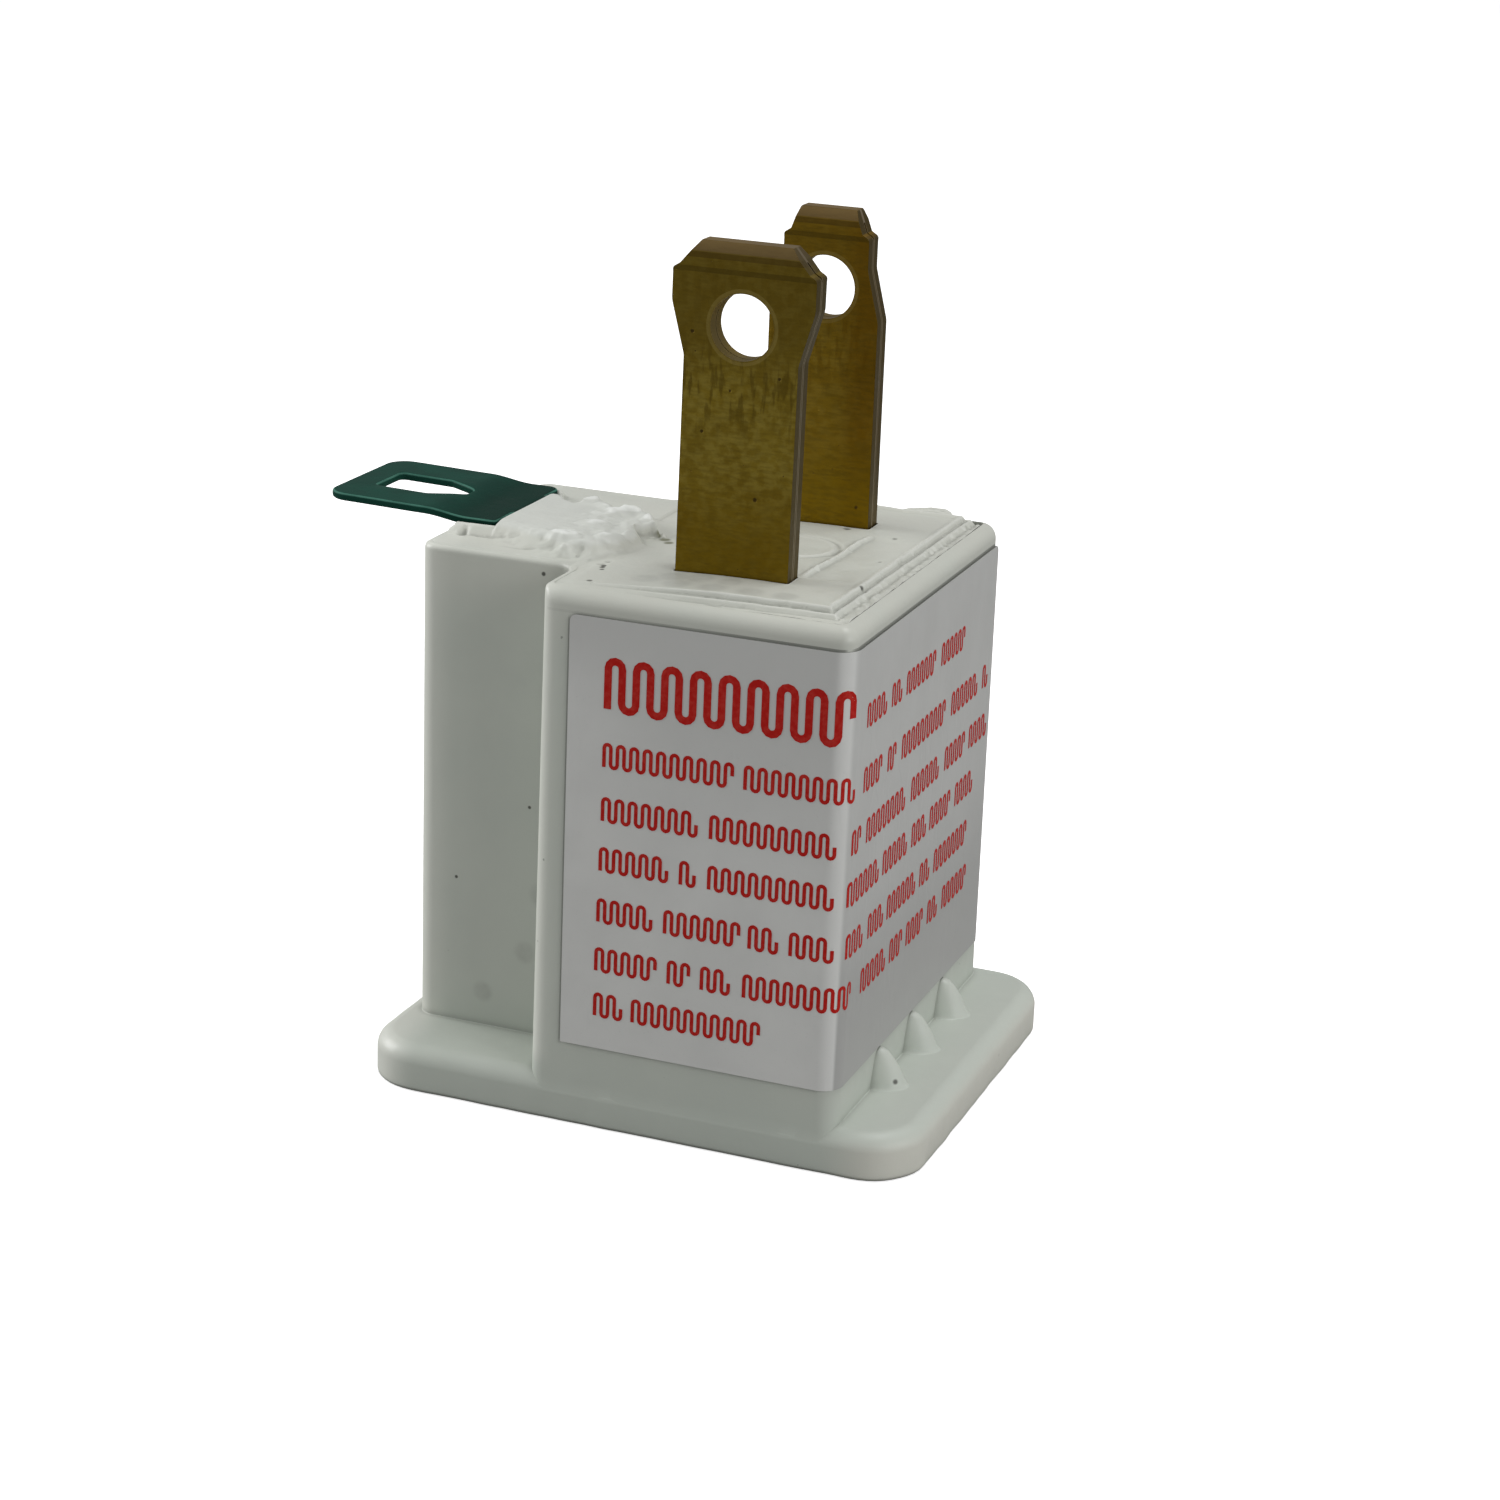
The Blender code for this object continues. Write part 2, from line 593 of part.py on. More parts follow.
def build_ground_contact(material):
    """Split sleeve for the ground pin, with a strap up to the riveted foot under the cover."""
    radius = (SLEEVE_BORE + CONTACT_SHEET) / 2
    wrap = math.tau - SLEEVE_SPLIT
    angles = [SLEEVE_SPLIT / 2 + wrap * step / HOLE_SIDES for step in range(HOLE_SIDES + 1)]
    ring = [(radius * math.cos(a) - GROUND_OFFSET, radius * math.sin(a), CONTACT_BOTTOM) for a in angles]
    contact = add_piece("ground_contact", swept("ground_contact", ring, (0, 0, SLEEVE_HEIGHT)), material)
    thicken(contact, CONTACT_SHEET)

    foot = COVER_BOTTOM - CLEARANCE - CONTACT_SHEET / 2
    wall = -GROUND_OFFSET - radius
    bend = [(wall + across, foot - STRAP_BEND + up) for across, up in quarter(STRAP_BEND)]
    toe = RIVET_X + RIVET_HEAD / 2 + STRAP_TOE
    start = CONTACT_BOTTOM + SLEEVE_HEIGHT - STRAP_LAP
    line = [(x, -STRAP_WIDTH / 2, z) for x, z in [(wall, start), *bend, (toe, foot)]]
    strap = add_cutter("strap", swept("strap", line, (0, STRAP_WIDTH, 0)))
    thicken(strap, CONTACT_SHEET)
    combine(contact, strap, "UNION")
    bore = circle(RIVET_X, 0, RIVET_SHANK + CLEARANCE)
    combine(contact, prism("foot_bore", bore, foot - CONTACT_SHEET, foot + CONTACT_SHEET), "DIFFERENCE")


def build_ground_tab(material):
    """Flat green tab with a screw slot, jogged down to the neck and riveted under the weld mound."""
    level = TAB_BOTTOM + TAB_THICKNESS / 2
    raised = level + TAB_JOG_RISE
    half = TAB_WIDTH / 2
    inner = TAB_INNER_WIDTH / 2
    side = half + OVERRUN
    bends = [
        (TAB_INNER_END, level), (TAB_JOG_END, level), (TAB_JOG_START, raised),
        (TAB_END - OVERRUN, raised + TAB_TIP_RISE),
    ]
    line = [(x, -side, z) for x, z in bends]
    tab = add_piece("ground_tab", swept("ground_tab", line, (0, 2 * side, 0)), material)
    thicken(tab, TAB_THICKNESS)

    neck = TAB_ROOT - CLEARANCE
    outline = rounded([
        (TAB_END, -half, TAB_CORNER_ROUND), (neck, -half, EDGE_BREAK), (neck, -inner, EDGE_BREAK),
        (TAB_INNER_END, -inner, TAB_INNER_ROUND), (TAB_INNER_END, inner, TAB_INNER_ROUND),
        (neck, inner, EDGE_BREAK), (neck, half, EDGE_BREAK), (TAB_END, half, TAB_CORNER_ROUND),
    ])
    wide = SLOT_WIDTH / 2
    narrow = SLOT_NOSE_WIDTH / 2
    nose = SLOT_END - SLOT_NOSE
    slot = rounded([
        (SLOT_START, -wide, EDGE_BREAK), (nose, -wide, 2 * EDGE_BREAK),
        (SLOT_END, -narrow, 2 * EDGE_BREAK), (SLOT_END, narrow, 2 * EDGE_BREAK),
        (nose, wide, 2 * EDGE_BREAK), (SLOT_START, wide, EDGE_BREAK),
    ])
    rivet_hole = circle(RIVET_X, 0, RIVET_SHANK + CLEARANCE)
    lifted = Matrix.Translation((0, 0, level))
    depth = 2 * (TAB_JOG_RISE + TAB_TIP_RISE + TAB_THICKNESS)
    blank = add_cutter("tab_blank", plate("tab_blank", [outline, slot, rivet_hole], depth, lifted))
    combine(tab, blank, "INTERSECT")


def build_rivet(material):
    """Rivet that clamps the tab, the cover and the foot of the ground contact."""
    top = TAB_TOP + CLEARANCE / 4
    foot = COVER_BOTTOM - CLEARANCE - CONTACT_SHEET - CLEARANCE / 4
    shank = RIVET_SHANK / 2 - CLEARANCE / 4
    head = RIVET_HEAD / 2
    crown = RIVET_HEAD_HEIGHT - CLEARANCE / 2
    profile = [
        (0, top + crown), (0.55 * head, top + 0.85 * crown), (0.9 * head, top + 0.4 * crown), (head, top),
        (shank, top), (shank, foot), (0.9 * head, foot), (0.7 * head, foot - 0.6 * crown),
        (0, foot - 0.8 * crown),
    ]
    form = bmesh.new()
    verts = [form.verts.new((x, 0, z)) for x, z in profile]
    for pair in zip(verts, verts[1:]):
        form.edges.new(pair)
    rivet = add_piece("ground_rivet", mesh_of(form, "ground_rivet", 35), material)
    rivet.location = (RIVET_X, 0, 0)
    turn = rivet.modifiers.new("turned", "SCREW")
    turn.steps = HOLE_SIDES
    turn.render_steps = HOLE_SIDES
    turn.merge_threshold = 0.001 * MM
    turn.use_merge_vertices = True


def label_row(height):
    """Middle of the label film at a height, from its left end round the corner to its back end."""
    drawn_in = DRAFT * (height - WALL_FOOT) - LABEL_LIFT - LABEL_THICKNESS / 2
    radius = BLOCK_CORNER_ROUND + LABEL_LIFT
    front = drawn_in - HALF_DEPTH
    side = BLOCK_RIGHT - drawn_in
    ends = [across for across, _ in quarter(LABEL_CORNER_ROUND)]
    flat = [(BLOCK_LEFT + LABEL_LEFT_MARGIN + across, front) for across in ends]
    bend = [(side - radius + up, front + across) for across, up in quarter(radius, 2 * ARC_STEPS)]
    tail = [(side, HALF_DEPTH - LABEL_BACK_MARGIN - across) for across in reversed(ends)]
    return flat + bend + tail


def build_label(material):
    """Thin sticker that runs along the front face, round the corner and along the right face."""
    bottom = FLANGE_THICKNESS + LABEL_BOTTOM_MARGIN
    foot = label_row(bottom)
    drops = [LABEL_CORNER_ROUND - up for _, up in quarter(LABEL_CORNER_ROUND)]
    level = [0] * (len(foot) - 2 * len(drops))
    tops = [RIM_HEIGHT - LABEL_TOP_MARGIN - drop for drop in drops + level + drops[::-1]]
    form = bmesh.new()
    lower = [form.verts.new((*point, bottom)) for point in foot]
    upper = [form.verts.new((*label_row(top)[index], top)) for index, top in enumerate(tops)]
    for index in range(len(foot) - 1):
        form.faces.new((lower[index], lower[index + 1], upper[index + 1], upper[index]))
    label = add_piece("label", mesh_of(form, "label", 35), material)
    thicken(label, LABEL_THICKNESS)


def main():
    clear_scene()
    build_housing(finish("white_plastic", (0.56, 0.60, 0.55), 0.42, 0.0))
    build_cover(finish("cover_plastic", (0.58, 0.62, 0.57), 0.42, 0.0))
    brass = finish("tarnished_brass", (0.16, 0.11, 0.03), 0.45, 0.9)
    for blade in BLADES:
        build_blade(blade, brass)
    build_ground_contact(finish("contact_brass", (0.42, 0.31, 0.10), 0.35, 1.0))
    build_ground_tab(finish("green_lacquer", (0.010, 0.065, 0.045), 0.28, 0.0))
    build_rivet(finish("rivet_steel", (0.45, 0.45, 0.43), 0.35, 1.0))
    build_label(finish("silver_film", (0.36, 0.37, 0.38), 0.35, 0.2))


main()
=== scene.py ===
"""Grounding plug adapter: moulded shell, welded top, folded blades, enamelled tab and a printed label.

The packed model is the frame. Each piece is made from the sizes in the sidebar panel and stands for the
node that it replaces. The adapter rests on its receptacle face: +Z runs out along the blades, +X away from
the ground hole and +Y away from the wide blade's side.
"""

import contextlib
import functools
import math

import bmesh
import bpy
import numpy as np
from mathutils import Matrix, Vector, noise


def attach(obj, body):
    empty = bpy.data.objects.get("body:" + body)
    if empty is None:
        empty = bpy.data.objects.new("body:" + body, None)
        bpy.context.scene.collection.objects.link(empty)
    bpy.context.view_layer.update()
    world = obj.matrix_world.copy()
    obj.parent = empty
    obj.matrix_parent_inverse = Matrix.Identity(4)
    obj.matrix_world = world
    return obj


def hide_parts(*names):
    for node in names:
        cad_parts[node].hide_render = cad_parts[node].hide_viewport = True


bl_info = {
    "name": "Grounding Plug Adapter",
    "version": (1, 0, 0),
    "blender": (4, 5, 0),
    "location": "View3D > Sidebar > Adapter",
    "description": "Dresses the packed adapter with its moulded, folded, enamelled and printed pieces",
    "category": "Object",
}

MM = 0.001
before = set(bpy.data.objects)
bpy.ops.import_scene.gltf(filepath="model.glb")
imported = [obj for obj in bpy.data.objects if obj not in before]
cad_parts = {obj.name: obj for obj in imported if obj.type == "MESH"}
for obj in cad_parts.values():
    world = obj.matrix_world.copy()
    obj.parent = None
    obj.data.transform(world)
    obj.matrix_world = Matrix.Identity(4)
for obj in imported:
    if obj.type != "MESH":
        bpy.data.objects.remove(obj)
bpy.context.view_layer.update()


def length(label, millimetres, about):
    """Length property with a default in millimetres."""
    return bpy.props.FloatProperty(
        name=label, description=about, default=millimetres * MM, unit="LENGTH", precision=5
    )


def colour(label, shade, about):
    """Colour property with a linear default."""
    return bpy.props.FloatVectorProperty(
        name=label, description=about, default=shade, subtype="COLOR", size=3, min=0, max=1
    )


def power(label, watts, about):
    """Power property with a default in watts."""
    return bpy.props.FloatProperty(name=label, description=about, default=watts, unit="POWER")


class ShellSizes(bpy.types.PropertyGroup):
    """Moulded shell: a block, a neck for the ground contact and a flange."""

    block_left: length("Block left", -8.8, "Left face of the block")
    block_right: length("Block right", 9.05, "Right face of the block")
    half_depth: length("Half depth", 12.66, "From the middle to the front and back faces")
    block_round: length("Block corner", 1.1, "Radius of the block's upright corners")
    neck_end: length("Neck end", -17.85, "End face of the neck")
    neck_half: length("Neck half depth", 7.9, "From the middle to the neck's sides")
    neck_round: length("Neck corner", 1.0, "Radius of the neck's upright corners")
    inner_round: length("Inner corner", 0.5, "Radius where the neck meets the block")
    rim_height: length("Rim height", 30.1, "Height of the rim")
    rim_round: length("Rim rounding", 0.9, "Radius of the rim's outer edge")
    neck_rim_round: length("Neck rim rounding", 0.3, "Radius of the neck's upper edge")
    flange_left: length("Flange left", -19.1, "Left end of the flange")
    flange_right: length("Flange right", 13.25, "Right end of the flange")
    flange_back: length("Flange back", 13.51, "Back edge of the flange")
    flange_thickness: length("Flange thickness", 2.6, "Thickness of the flange")
    flange_round: length("Flange corner", 3.2, "Radius of the flange's corners in plan")
    flange_edge: length("Flange edge", 1.0, "Radius of the flange's upper edge")
    gusset_pitch: length("Gusset pitch", 5.5, "Spacing of the three gussets")
    gusset_height: length("Gusset height", 2.1, "Height of a gusset above the flange")
    gusset_depth: length("Gusset depth", 1.9, "Reach of a gusset from the wall")
    seam_inset: length("Seam inset", 0.95, "Place of the seam inside the block's walls")
    draft: bpy.props.FloatProperty(
        name="Draft", description="Draft of the walls", default=math.radians(0.45), subtype="ANGLE"
    )


class TopSizes(bpy.types.PropertyGroup):
    """Welded top: a stepped plate that runs out into a pad and a ragged weld over the tab's root."""

    mesh_pitch: length("Mesh pitch", 0.11, "Spacing of the points on the top")
    field_height: length("Field height", 30.46, "Height of the raised field")
    pad_height: length("Pad height", 30.62, "Height of the pad round the tab")
    weld_height: length("Weld height", 30.93, "Height of the weld beside the tab")
    bottom: length("Bottom", 28.3, "Underside of the plate")


class BladeSizes(bpy.types.PropertyGroup):
    """Blades: strips folded double at the tip, whose ends open into spring leaves."""

    spacing: length("Spacing", 12.7, "Distance between the two blades")
    width: length("Width", 6.35, "Width of a blade's shank")
    sheet: length("Sheet", 0.72, "Thickness of the strip")
    seam: length("Seam", 0.06, "Gap between the two layers")
    base: length("Base", 30.55, "Height at which the blades leave the top")
    tip: length("Tip", 47.95, "Height of the fold")
    hole_height: length("Hole height", 43.65, "Height of the hole's middle")
    hole_diameter: length("Hole diameter", 3.5, "Diameter of the hole")
    edge_round: length("Edge rounding", 0.12, "Rounding of the stamped edges")


class TabSizes(bpy.types.PropertyGroup):
    """Enamelled ground tab with its screw slot, and the rivet that holds it."""

    end: length("End", -25.5, "Free end of the tab")
    root: length("Root", -14.93, "Where the wide part goes into the weld")
    half_width: length("Half width", 4.38, "Half the width of the tab")
    thickness: length("Thickness", 0.45, "Thickness of the enamelled sheet")
    bottom: length("Bottom", 30.43, "Underside of the tab on the neck")
    rise: length("Rise", 0.28, "How far the tab jogs up at the neck's end")
    edge_round: length("Edge rounding", 0.15, "Rounding of the enamelled edges")
    rivet_x: length("Rivet place", -12.2, "Middle of the rivet")


class LabelSizes(bpy.types.PropertyGroup):
    """Label film round the front and right faces, printed with plain wavy lines."""

    left: length("Left", -6.75, "Left end of the film")
    back: length("Back", 11.6, "Back end of the film")
    bottom: length("Bottom", 4.8, "Lower edge of the film")
    top: length("Top", 28.85, "Upper edge of the film")
    film: length("Film", 0.08, "Thickness of the film")
    corner: length("Corner", 0.4, "Radius of the film's corners")
    wave_height: length("Wave height", 1.25, "Height of a printed wave")
    wave_width: length("Wave width", 0.20, "Width of the printed line")
    wave_turn: length("Wave turn", 0.19, "Radius of the turns in a printed wave")


class Finishes(bpy.types.PropertyGroup):
    """Colours of the materials."""

    plastic: colour("Plastic", (0.56, 0.59, 0.535), "Moulded plastic")
    # Painted light: the upper walls and rim get this lighter, warmer colour, where light comes through the
    # plastic
    plastic_lit_rim: colour("Warm plastic", (0.575, 0.585, 0.53), "Plastic where light comes through the rim")
    brass: colour("Brass", (0.30, 0.212, 0.026), "Tarnished brass")
    oxide: colour("Oxide", (0.20, 0.135, 0.014), "Dark tarnish")
    clean_brass: colour("Clean brass", (0.50, 0.37, 0.13), "Brass inside the adapter")
    enamel: colour("Enamel", (0.008, 0.044, 0.032), "Green enamel")
    film: colour("Film", (0.68, 0.685, 0.67), "Label film")
    # Painted shade: the film's cut edge gets this dark colour, drawing the shadow line along the label's
    # edges
    film_edge_shade: colour("Film edge", (0.17, 0.175, 0.16), "Cut edge of the film")
    ink: colour("Ink", (0.46, 0.010, 0.007), "Printed waves")
    steel: colour("Steel", (0.45, 0.45, 0.43), "Rivet")


class StageSizes(bpy.types.PropertyGroup):
    """Camera, lamps and floor."""

    lens: bpy.props.FloatProperty(name="Lens", description="Focal length", default=79.75, unit="CAMERA")
    sky: bpy.props.FloatProperty(name="Sky", description="Strength of the even light", default=0.30)
    key: power("Key", 0.80, "Lamp above")
    side: power("Side", 1.20, "Lamp at the left")
    fill: power("Fill", 0.38, "Lamp at the front right")
    right: power("Right", 0.20, "Lamp at the right")


# Mesh helpers

MERGE_DISTANCE = 0.0005 * MM


def rounded(corners, steps=10):
    """Closed outline whose corners (x, y, radius) are rounded by tangent arcs."""
    outline = []
    for index, (x, y, radius) in enumerate(corners):
        corner = Vector((x, y))
        before = (Vector(corners[index - 1][:2]) - corner).normalized()
        after = (Vector(corners[(index + 1) % len(corners)][:2]) - corner).normalized()
        if radius == 0:
            outline.append(corner)
            continue
        half_angle = before.angle(after) / 2
        centre = corner + (before + after).normalized() * radius / math.sin(half_angle)
        start = corner + before * radius / math.tan(half_angle) - centre
        sweep = math.copysign(math.pi - 2 * half_angle, after.cross(before))
        outline += [centre + Matrix.Rotation(sweep * step / steps, 2) @ start for step in range(steps + 1)]
    return outline


def box_outline(left, right, front, back, radius):
    """Rounded rectangle, counter-clockwise."""
    corners = [(left, front), (right, front), (right, back), (left, back)]
    return rounded([(*corner, radius) for corner in corners])


def body_outline(size, inset, neck_inset, depth_inset, left_inset=None):
    """Plan of block and neck, drawn in by insets; the block's left side may have its own."""
    left = size.block_left + (inset if left_inset is None else left_inset)
    right = size.block_right - inset
    depth = size.half_depth - depth_inset
    end = size.neck_end + neck_inset
    half = size.neck_half - neck_inset
    block = max(size.block_round - depth_inset, size.block_round / 4)
    neck = max(size.neck_round - neck_inset, size.neck_round / 4)
    inner = max(size.inner_round + inset, size.inner_round / 4)
    return rounded([
        (left, -depth, block), (right, -depth, block), (right, depth, block), (left, depth, block),
        (left, half, inner), (end, half, neck), (end, -half, neck), (left, -half, inner),
    ])


def circle(x, y, diameter, sides=56):
    """Round outline."""
    angles = [math.tau * side / sides for side in range(sides)]
    return [Vector((x + math.cos(a) * diameter / 2, y + math.sin(a) * diameter / 2)) for a in angles]


def quarter(radius, steps=8):
    """Quarter circle from (0, 0) to (radius, radius) as pairs of inward and upward travel."""
    angles = [math.pi / 2 * step / steps for step in range(steps + 1)]
    return [(radius * (1 - math.cos(angle)), radius * math.sin(angle)) for angle in angles]


def divided(outline, parts=28):
    """Outline whose long straight runs are split, so that they can stray."""
    fine = []
    for start, end in zip(outline, outline[1:] + outline[:1]):
        count = parts if (end - start).length > 2 * MM else 1
        fine += [start.lerp(end, step / count) for step in range(count)]
    return fine


def strayed(outline, amount, pitch, seed):
    """Outline whose points stray sideways by smooth noise."""
    moved = []
    for before, point, after in zip(outline[-1:] + outline[:-1], outline, outline[1:] + outline[:1]):
        along = (after - before).normalized()
        drift = noise.noise(Vector((point.x / pitch, point.y / pitch, seed)))
        moved.append(point + Vector((along.y, -along.x)) * amount * drift)
    return moved


@contextlib.contextmanager
def edited(mesh):
    """Bmesh of a mesh, written back when the block ends."""
    form = bmesh.new()
    form.from_mesh(mesh)
    yield form
    form.to_mesh(mesh)
    form.free()


def mesh_of(form, name):
    """Mesh made from a bmesh."""
    bmesh.ops.recalc_face_normals(form, faces=form.faces)
    mesh = bpy.data.meshes.new(name)
    form.to_mesh(mesh)
    form.free()
    return mesh


def skin(rings):
    """Closed bmesh skinned over a stack of like outlines, each given with its height."""
    form = bmesh.new()
    loops = [[form.verts.new((x, y, height)) for x, y in outline] for outline, height in rings]
    form.faces.new(loops[0])
    form.faces.new(loops[-1])
    for lower, upper in zip(loops, loops[1:]):
        for index, vertex in enumerate(lower):
            form.faces.new((lower[index - 1], vertex, upper[index], upper[index - 1]))
    return form


def plate(name, outlines, thickness, bevel=0.0):
    """Mesh of a flat plate filled between closed outlines, with rounded edges where a bevel is given."""
    curve = bpy.data.curves.new(name, "CURVE")
    curve.dimensions = "2D"
    curve.fill_mode = "BOTH"
    curve.extrude = thickness / 2 - bevel
    curve.bevel_depth = bevel
    curve.bevel_resolution = 3
    curve.offset = -bevel
    for outline in outlines:
        spline = curve.splines.new("POLY")
        spline.points.add(len(outline) - 1)
        for point, (x, y) in zip(spline.points, outline):
            point.co = (x, y, 0, 1)
        spline.use_cyclic_u = True
    sketch = bpy.data.objects.new(name, curve)
    bpy.context.scene.collection.objects.link(sketch)
    graph = bpy.context.evaluated_depsgraph_get()
    mesh = bpy.data.meshes.new_from_object(sketch.evaluated_get(graph))
    bpy.data.objects.remove(sketch, do_unlink=True)
    form = bmesh.new()
    form.from_mesh(mesh)
    bmesh.ops.remove_doubles(form, verts=form.verts, dist=2 * MERGE_DISTANCE)
    bpy.data.meshes.remove(mesh)
    return form


def swept(name, line, travel):
    """Open surface swept from a line of points along a straight travel."""
    form = bmesh.new()
    verts = [form.verts.new(point) for point in line]
    rail = [form.edges.new(pair) for pair in zip(verts, verts[1:])]
    grown = bmesh.ops.extrude_edge_only(form, edges=rail)
    moved = [item for item in grown["geom"] if isinstance(item, bmesh.types.BMVert)]
    bmesh.ops.translate(form, verts=moved, vec=travel)
    return mesh_of(form, name)


def new_object(name, mesh):
    """Object in the scene."""
    made = bpy.data.objects.new(name, mesh)
    bpy.context.scene.collection.objects.link(made)
    return made


def solidify(piece, thickness, offset=0.0):
    """Solidify modifier of even thickness."""
    modifier = piece.modifiers.new("thickness", "SOLIDIFY")
    modifier.thickness = thickness
    modifier.offset = offset
    modifier.use_even_offset = True
    return modifier


def combine(piece, form, operation):
    """Boolean modifier with a solid that goes when the piece is baked."""
    helper = new_object("helper", mesh_of(form, "helper"))
    modifier = piece.modifiers.new("helper", "BOOLEAN")
    modifier.operation = operation
    modifier.solver = "EXACT"
    modifier.object = helper


def prism(outline, bottom, top):
    """Solid that stands straight up over an outline."""
    return skin([(outline, bottom), (outline, top)])


def bake(piece):
    """Put the result of a piece's modifiers in their place."""
    graph = bpy.context.evaluated_depsgraph_get()
    mesh = bpy.data.meshes.new_from_object(piece.evaluated_get(graph))
    helpers = {modifier.object for modifier in piece.modifiers if modifier.type == "BOOLEAN"}
    piece.modifiers.clear()
    rough = piece.data
    piece.data = mesh
    bpy.data.meshes.remove(rough)
    for helper in helpers:
        bpy.data.objects.remove(helper, do_unlink=True)
    with edited(mesh) as form:
        bmesh.ops.remove_doubles(form, verts=form.verts, dist=MERGE_DISTANCE)
        bmesh.ops.dissolve_degenerate(form, edges=form.edges, dist=MERGE_DISTANCE)


def finished(piece, angle, *materials):
    """Smooth shading below an angle, the materials, and the body that the piece rides on."""
    piece.data.shade_smooth()
    piece.data.set_sharp_from_angle(angle=math.radians(angle))
    if materials:
        piece.data.materials.clear()
    for material in materials:
        piece.data.materials.append(material)
    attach(piece, "root")


def weighted(piece):
    """Keep flat faces flat beside rounded edges."""
    modifier = piece.modifiers.new("normals", "WEIGHTED_NORMAL")
    modifier.keep_sharp = True


# Materials


class Nodes:
    """Node tree that is filled from code."""

    def __init__(self, tree):
        self.tree = tree

    def join(self, source, socket):
        """Link an input to an output, or set it to a number, a vector or a colour."""
        if isinstance(source, bpy.types.NodeSocket):
            self.tree.links.new(source, socket)
        elif socket.type == "RGBA":
            socket.default_value = (*source, 1.0)
        else:
            socket.default_value = source

    def add(self, kind, inputs=None, **settings):
        """Node whose inputs are linked or set."""
        node = self.tree.nodes.new(kind)
        for key, value in settings.items():
            setattr(node, key, value)
        for name, source in (inputs or {}).items():
            self.join(source, node.inputs[name])
        return node

    def number(self, operation, *values):
        """Result of one sum on numbers."""
        return self.add("ShaderNodeMath", dict(enumerate(values)), operation=operation).outputs["Value"]

    def times(self, *parts):
        """Product of masks and shares."""
        return functools.reduce(lambda first, second: self.number("MULTIPLY", first, second), parts)

    def fade(self, value, start, end, high=1.0, low=0.0):
        """Smooth step from low to high while a value goes from start to end."""
        limits = {"From Min": start, "From Max": end, "To Min": low, "To Max": high}
        node = self.add("ShaderNodeMapRange", {"Value": value, **limits}, interpolation_type="SMOOTHSTEP")
        return node.outputs["Result"]

    def mix(self, share, first, second):
        """Mix of two colours, whose sockets have fixed places on the node."""
        return self.add("ShaderNodeMix", {0: share, 6: first, 7: second}, data_type="RGBA").outputs[2]


class Paint(Nodes):
    """Material built up from a base colour and shades laid over it through masks, placed in millimetres."""

    def __init__(self, name, base):
        self.material = bpy.data.materials.new(name)
        self.material.use_nodes = True
        super().__init__(self.material.node_tree)
        self.colour = base
        metres = self.add("ShaderNodeTexCoord").outputs["Object"]
        scaled = self.add("ShaderNodeVectorMath", {0: metres, "Scale": 1 / MM}, operation="SCALE")
        self.place = scaled.outputs["Vector"]
        self.axes = self.add("ShaderNodeSeparateXYZ", {"Vector": self.place}).outputs

    def span(self, axis, start, end, high=1.0, low=0.0):
        """Mask that comes in smoothly between two places on an axis."""
        return self.fade(self.axes[axis], start, end, high, low)

    def line(self, axis, middle, half_width):
        """Mask of a sharp band across an axis."""
        return self.number("COMPARE", self.axes[axis], middle, half_width)

    def noise(self, scale, detail=3.0, stretch=(1.0, 1.0, 1.0)):
        """Noise from 0 to 1 whose lumps are about 1 / scale millimetres."""
        spread = self.add("ShaderNodeVectorMath", {0: self.place, 1: stretch}, operation="MULTIPLY")
        inputs = {"Vector": spread.outputs["Vector"], "Scale": scale, "Detail": detail}
        return self.add("ShaderNodeTexNoise", inputs).outputs["Fac"]

    def spots(self, points):
        """Mask of soft spots, each given as (x, y, z, radius)."""
        mask = 0.0
        for x, y, z, radius in points:
            away = self.add("ShaderNodeVectorMath", {0: self.place, 1: (x, y, z)}, operation="DISTANCE")
            mask = self.number("MAXIMUM", mask, self.fade(away.outputs["Value"], radius, 0.45 * radius))
        return mask

    def facing(self, axis):
        """How far the surface faces along an axis, from -1 to 1."""
        normal = self.add("ShaderNodeNewGeometry").outputs["Normal"]
        return self.add("ShaderNodeSeparateXYZ", {"Vector": normal}).outputs[axis]

    def over(self, shade, *masks):
        """Lay a shade over the colour so far, through the product of masks."""
        self.colour = self.mix(self.times(*masks), self.colour, shade)

    def bump(self, height, strength, distance):
        """Normal bent by a height, whose reach is a distance."""
        inputs = {"Height": height, "Strength": strength, "Distance": distance * MM}
        return self.add("ShaderNodeBump", inputs).outputs["Normal"]

    def finish(self, inputs):
        """Material whose shader has the colour and the inputs given."""
        shader = self.tree.nodes["Principled BSDF"]
        for name, source in {"Base Color": self.colour, **inputs}.items():
            self.join(source, shader.inputs[name])
        return self.material


PLASTIC_TINTS_AND_PAINTED_LIGHT = (
    # Darker towards the foot, lighter weld, painted highlight on its lumps, painted shade at the flange's
    # lower edge
    ((0.50, 0.555, 0.50), ("Z", 6.5, 1.5, 0.35)),
    ((0.63, 0.65, 0.61), ("Z", 30.56, 30.85, 0.8)),
    ((0.80, 0.82, 0.79), ("Z", 31.03, 31.13, 0.8)),
    ((0.20, 0.205, 0.185), ("Z", 0.30, 0.02, 0.8)),
    # Painted light on the flange's front corner and the left edges of neck and block, painted shade in their
    # corner
    ((0.72, 0.71, 0.64), ("X", 8.0, 11.5), ("Z", 2.5, 1.5, 0.75)),
    ((0.71, 0.725, 0.665), ("X", -15.4, -17.8, 0.9)),
    ((0.71, 0.725, 0.665), ("X", -7.2, -8.6), ("X", -8.95, -8.85), ("Y", -11.3, -12.2, 0.9), ("Z", 2.7, 4.2)),
    ((0.36, 0.375, 0.335), ("X", -10.8, -9.2, 0.30), ("X", -8.7, -8.8), ("Y", -7.0, -7.6), ("Z", 2.65, 3.6)),
)
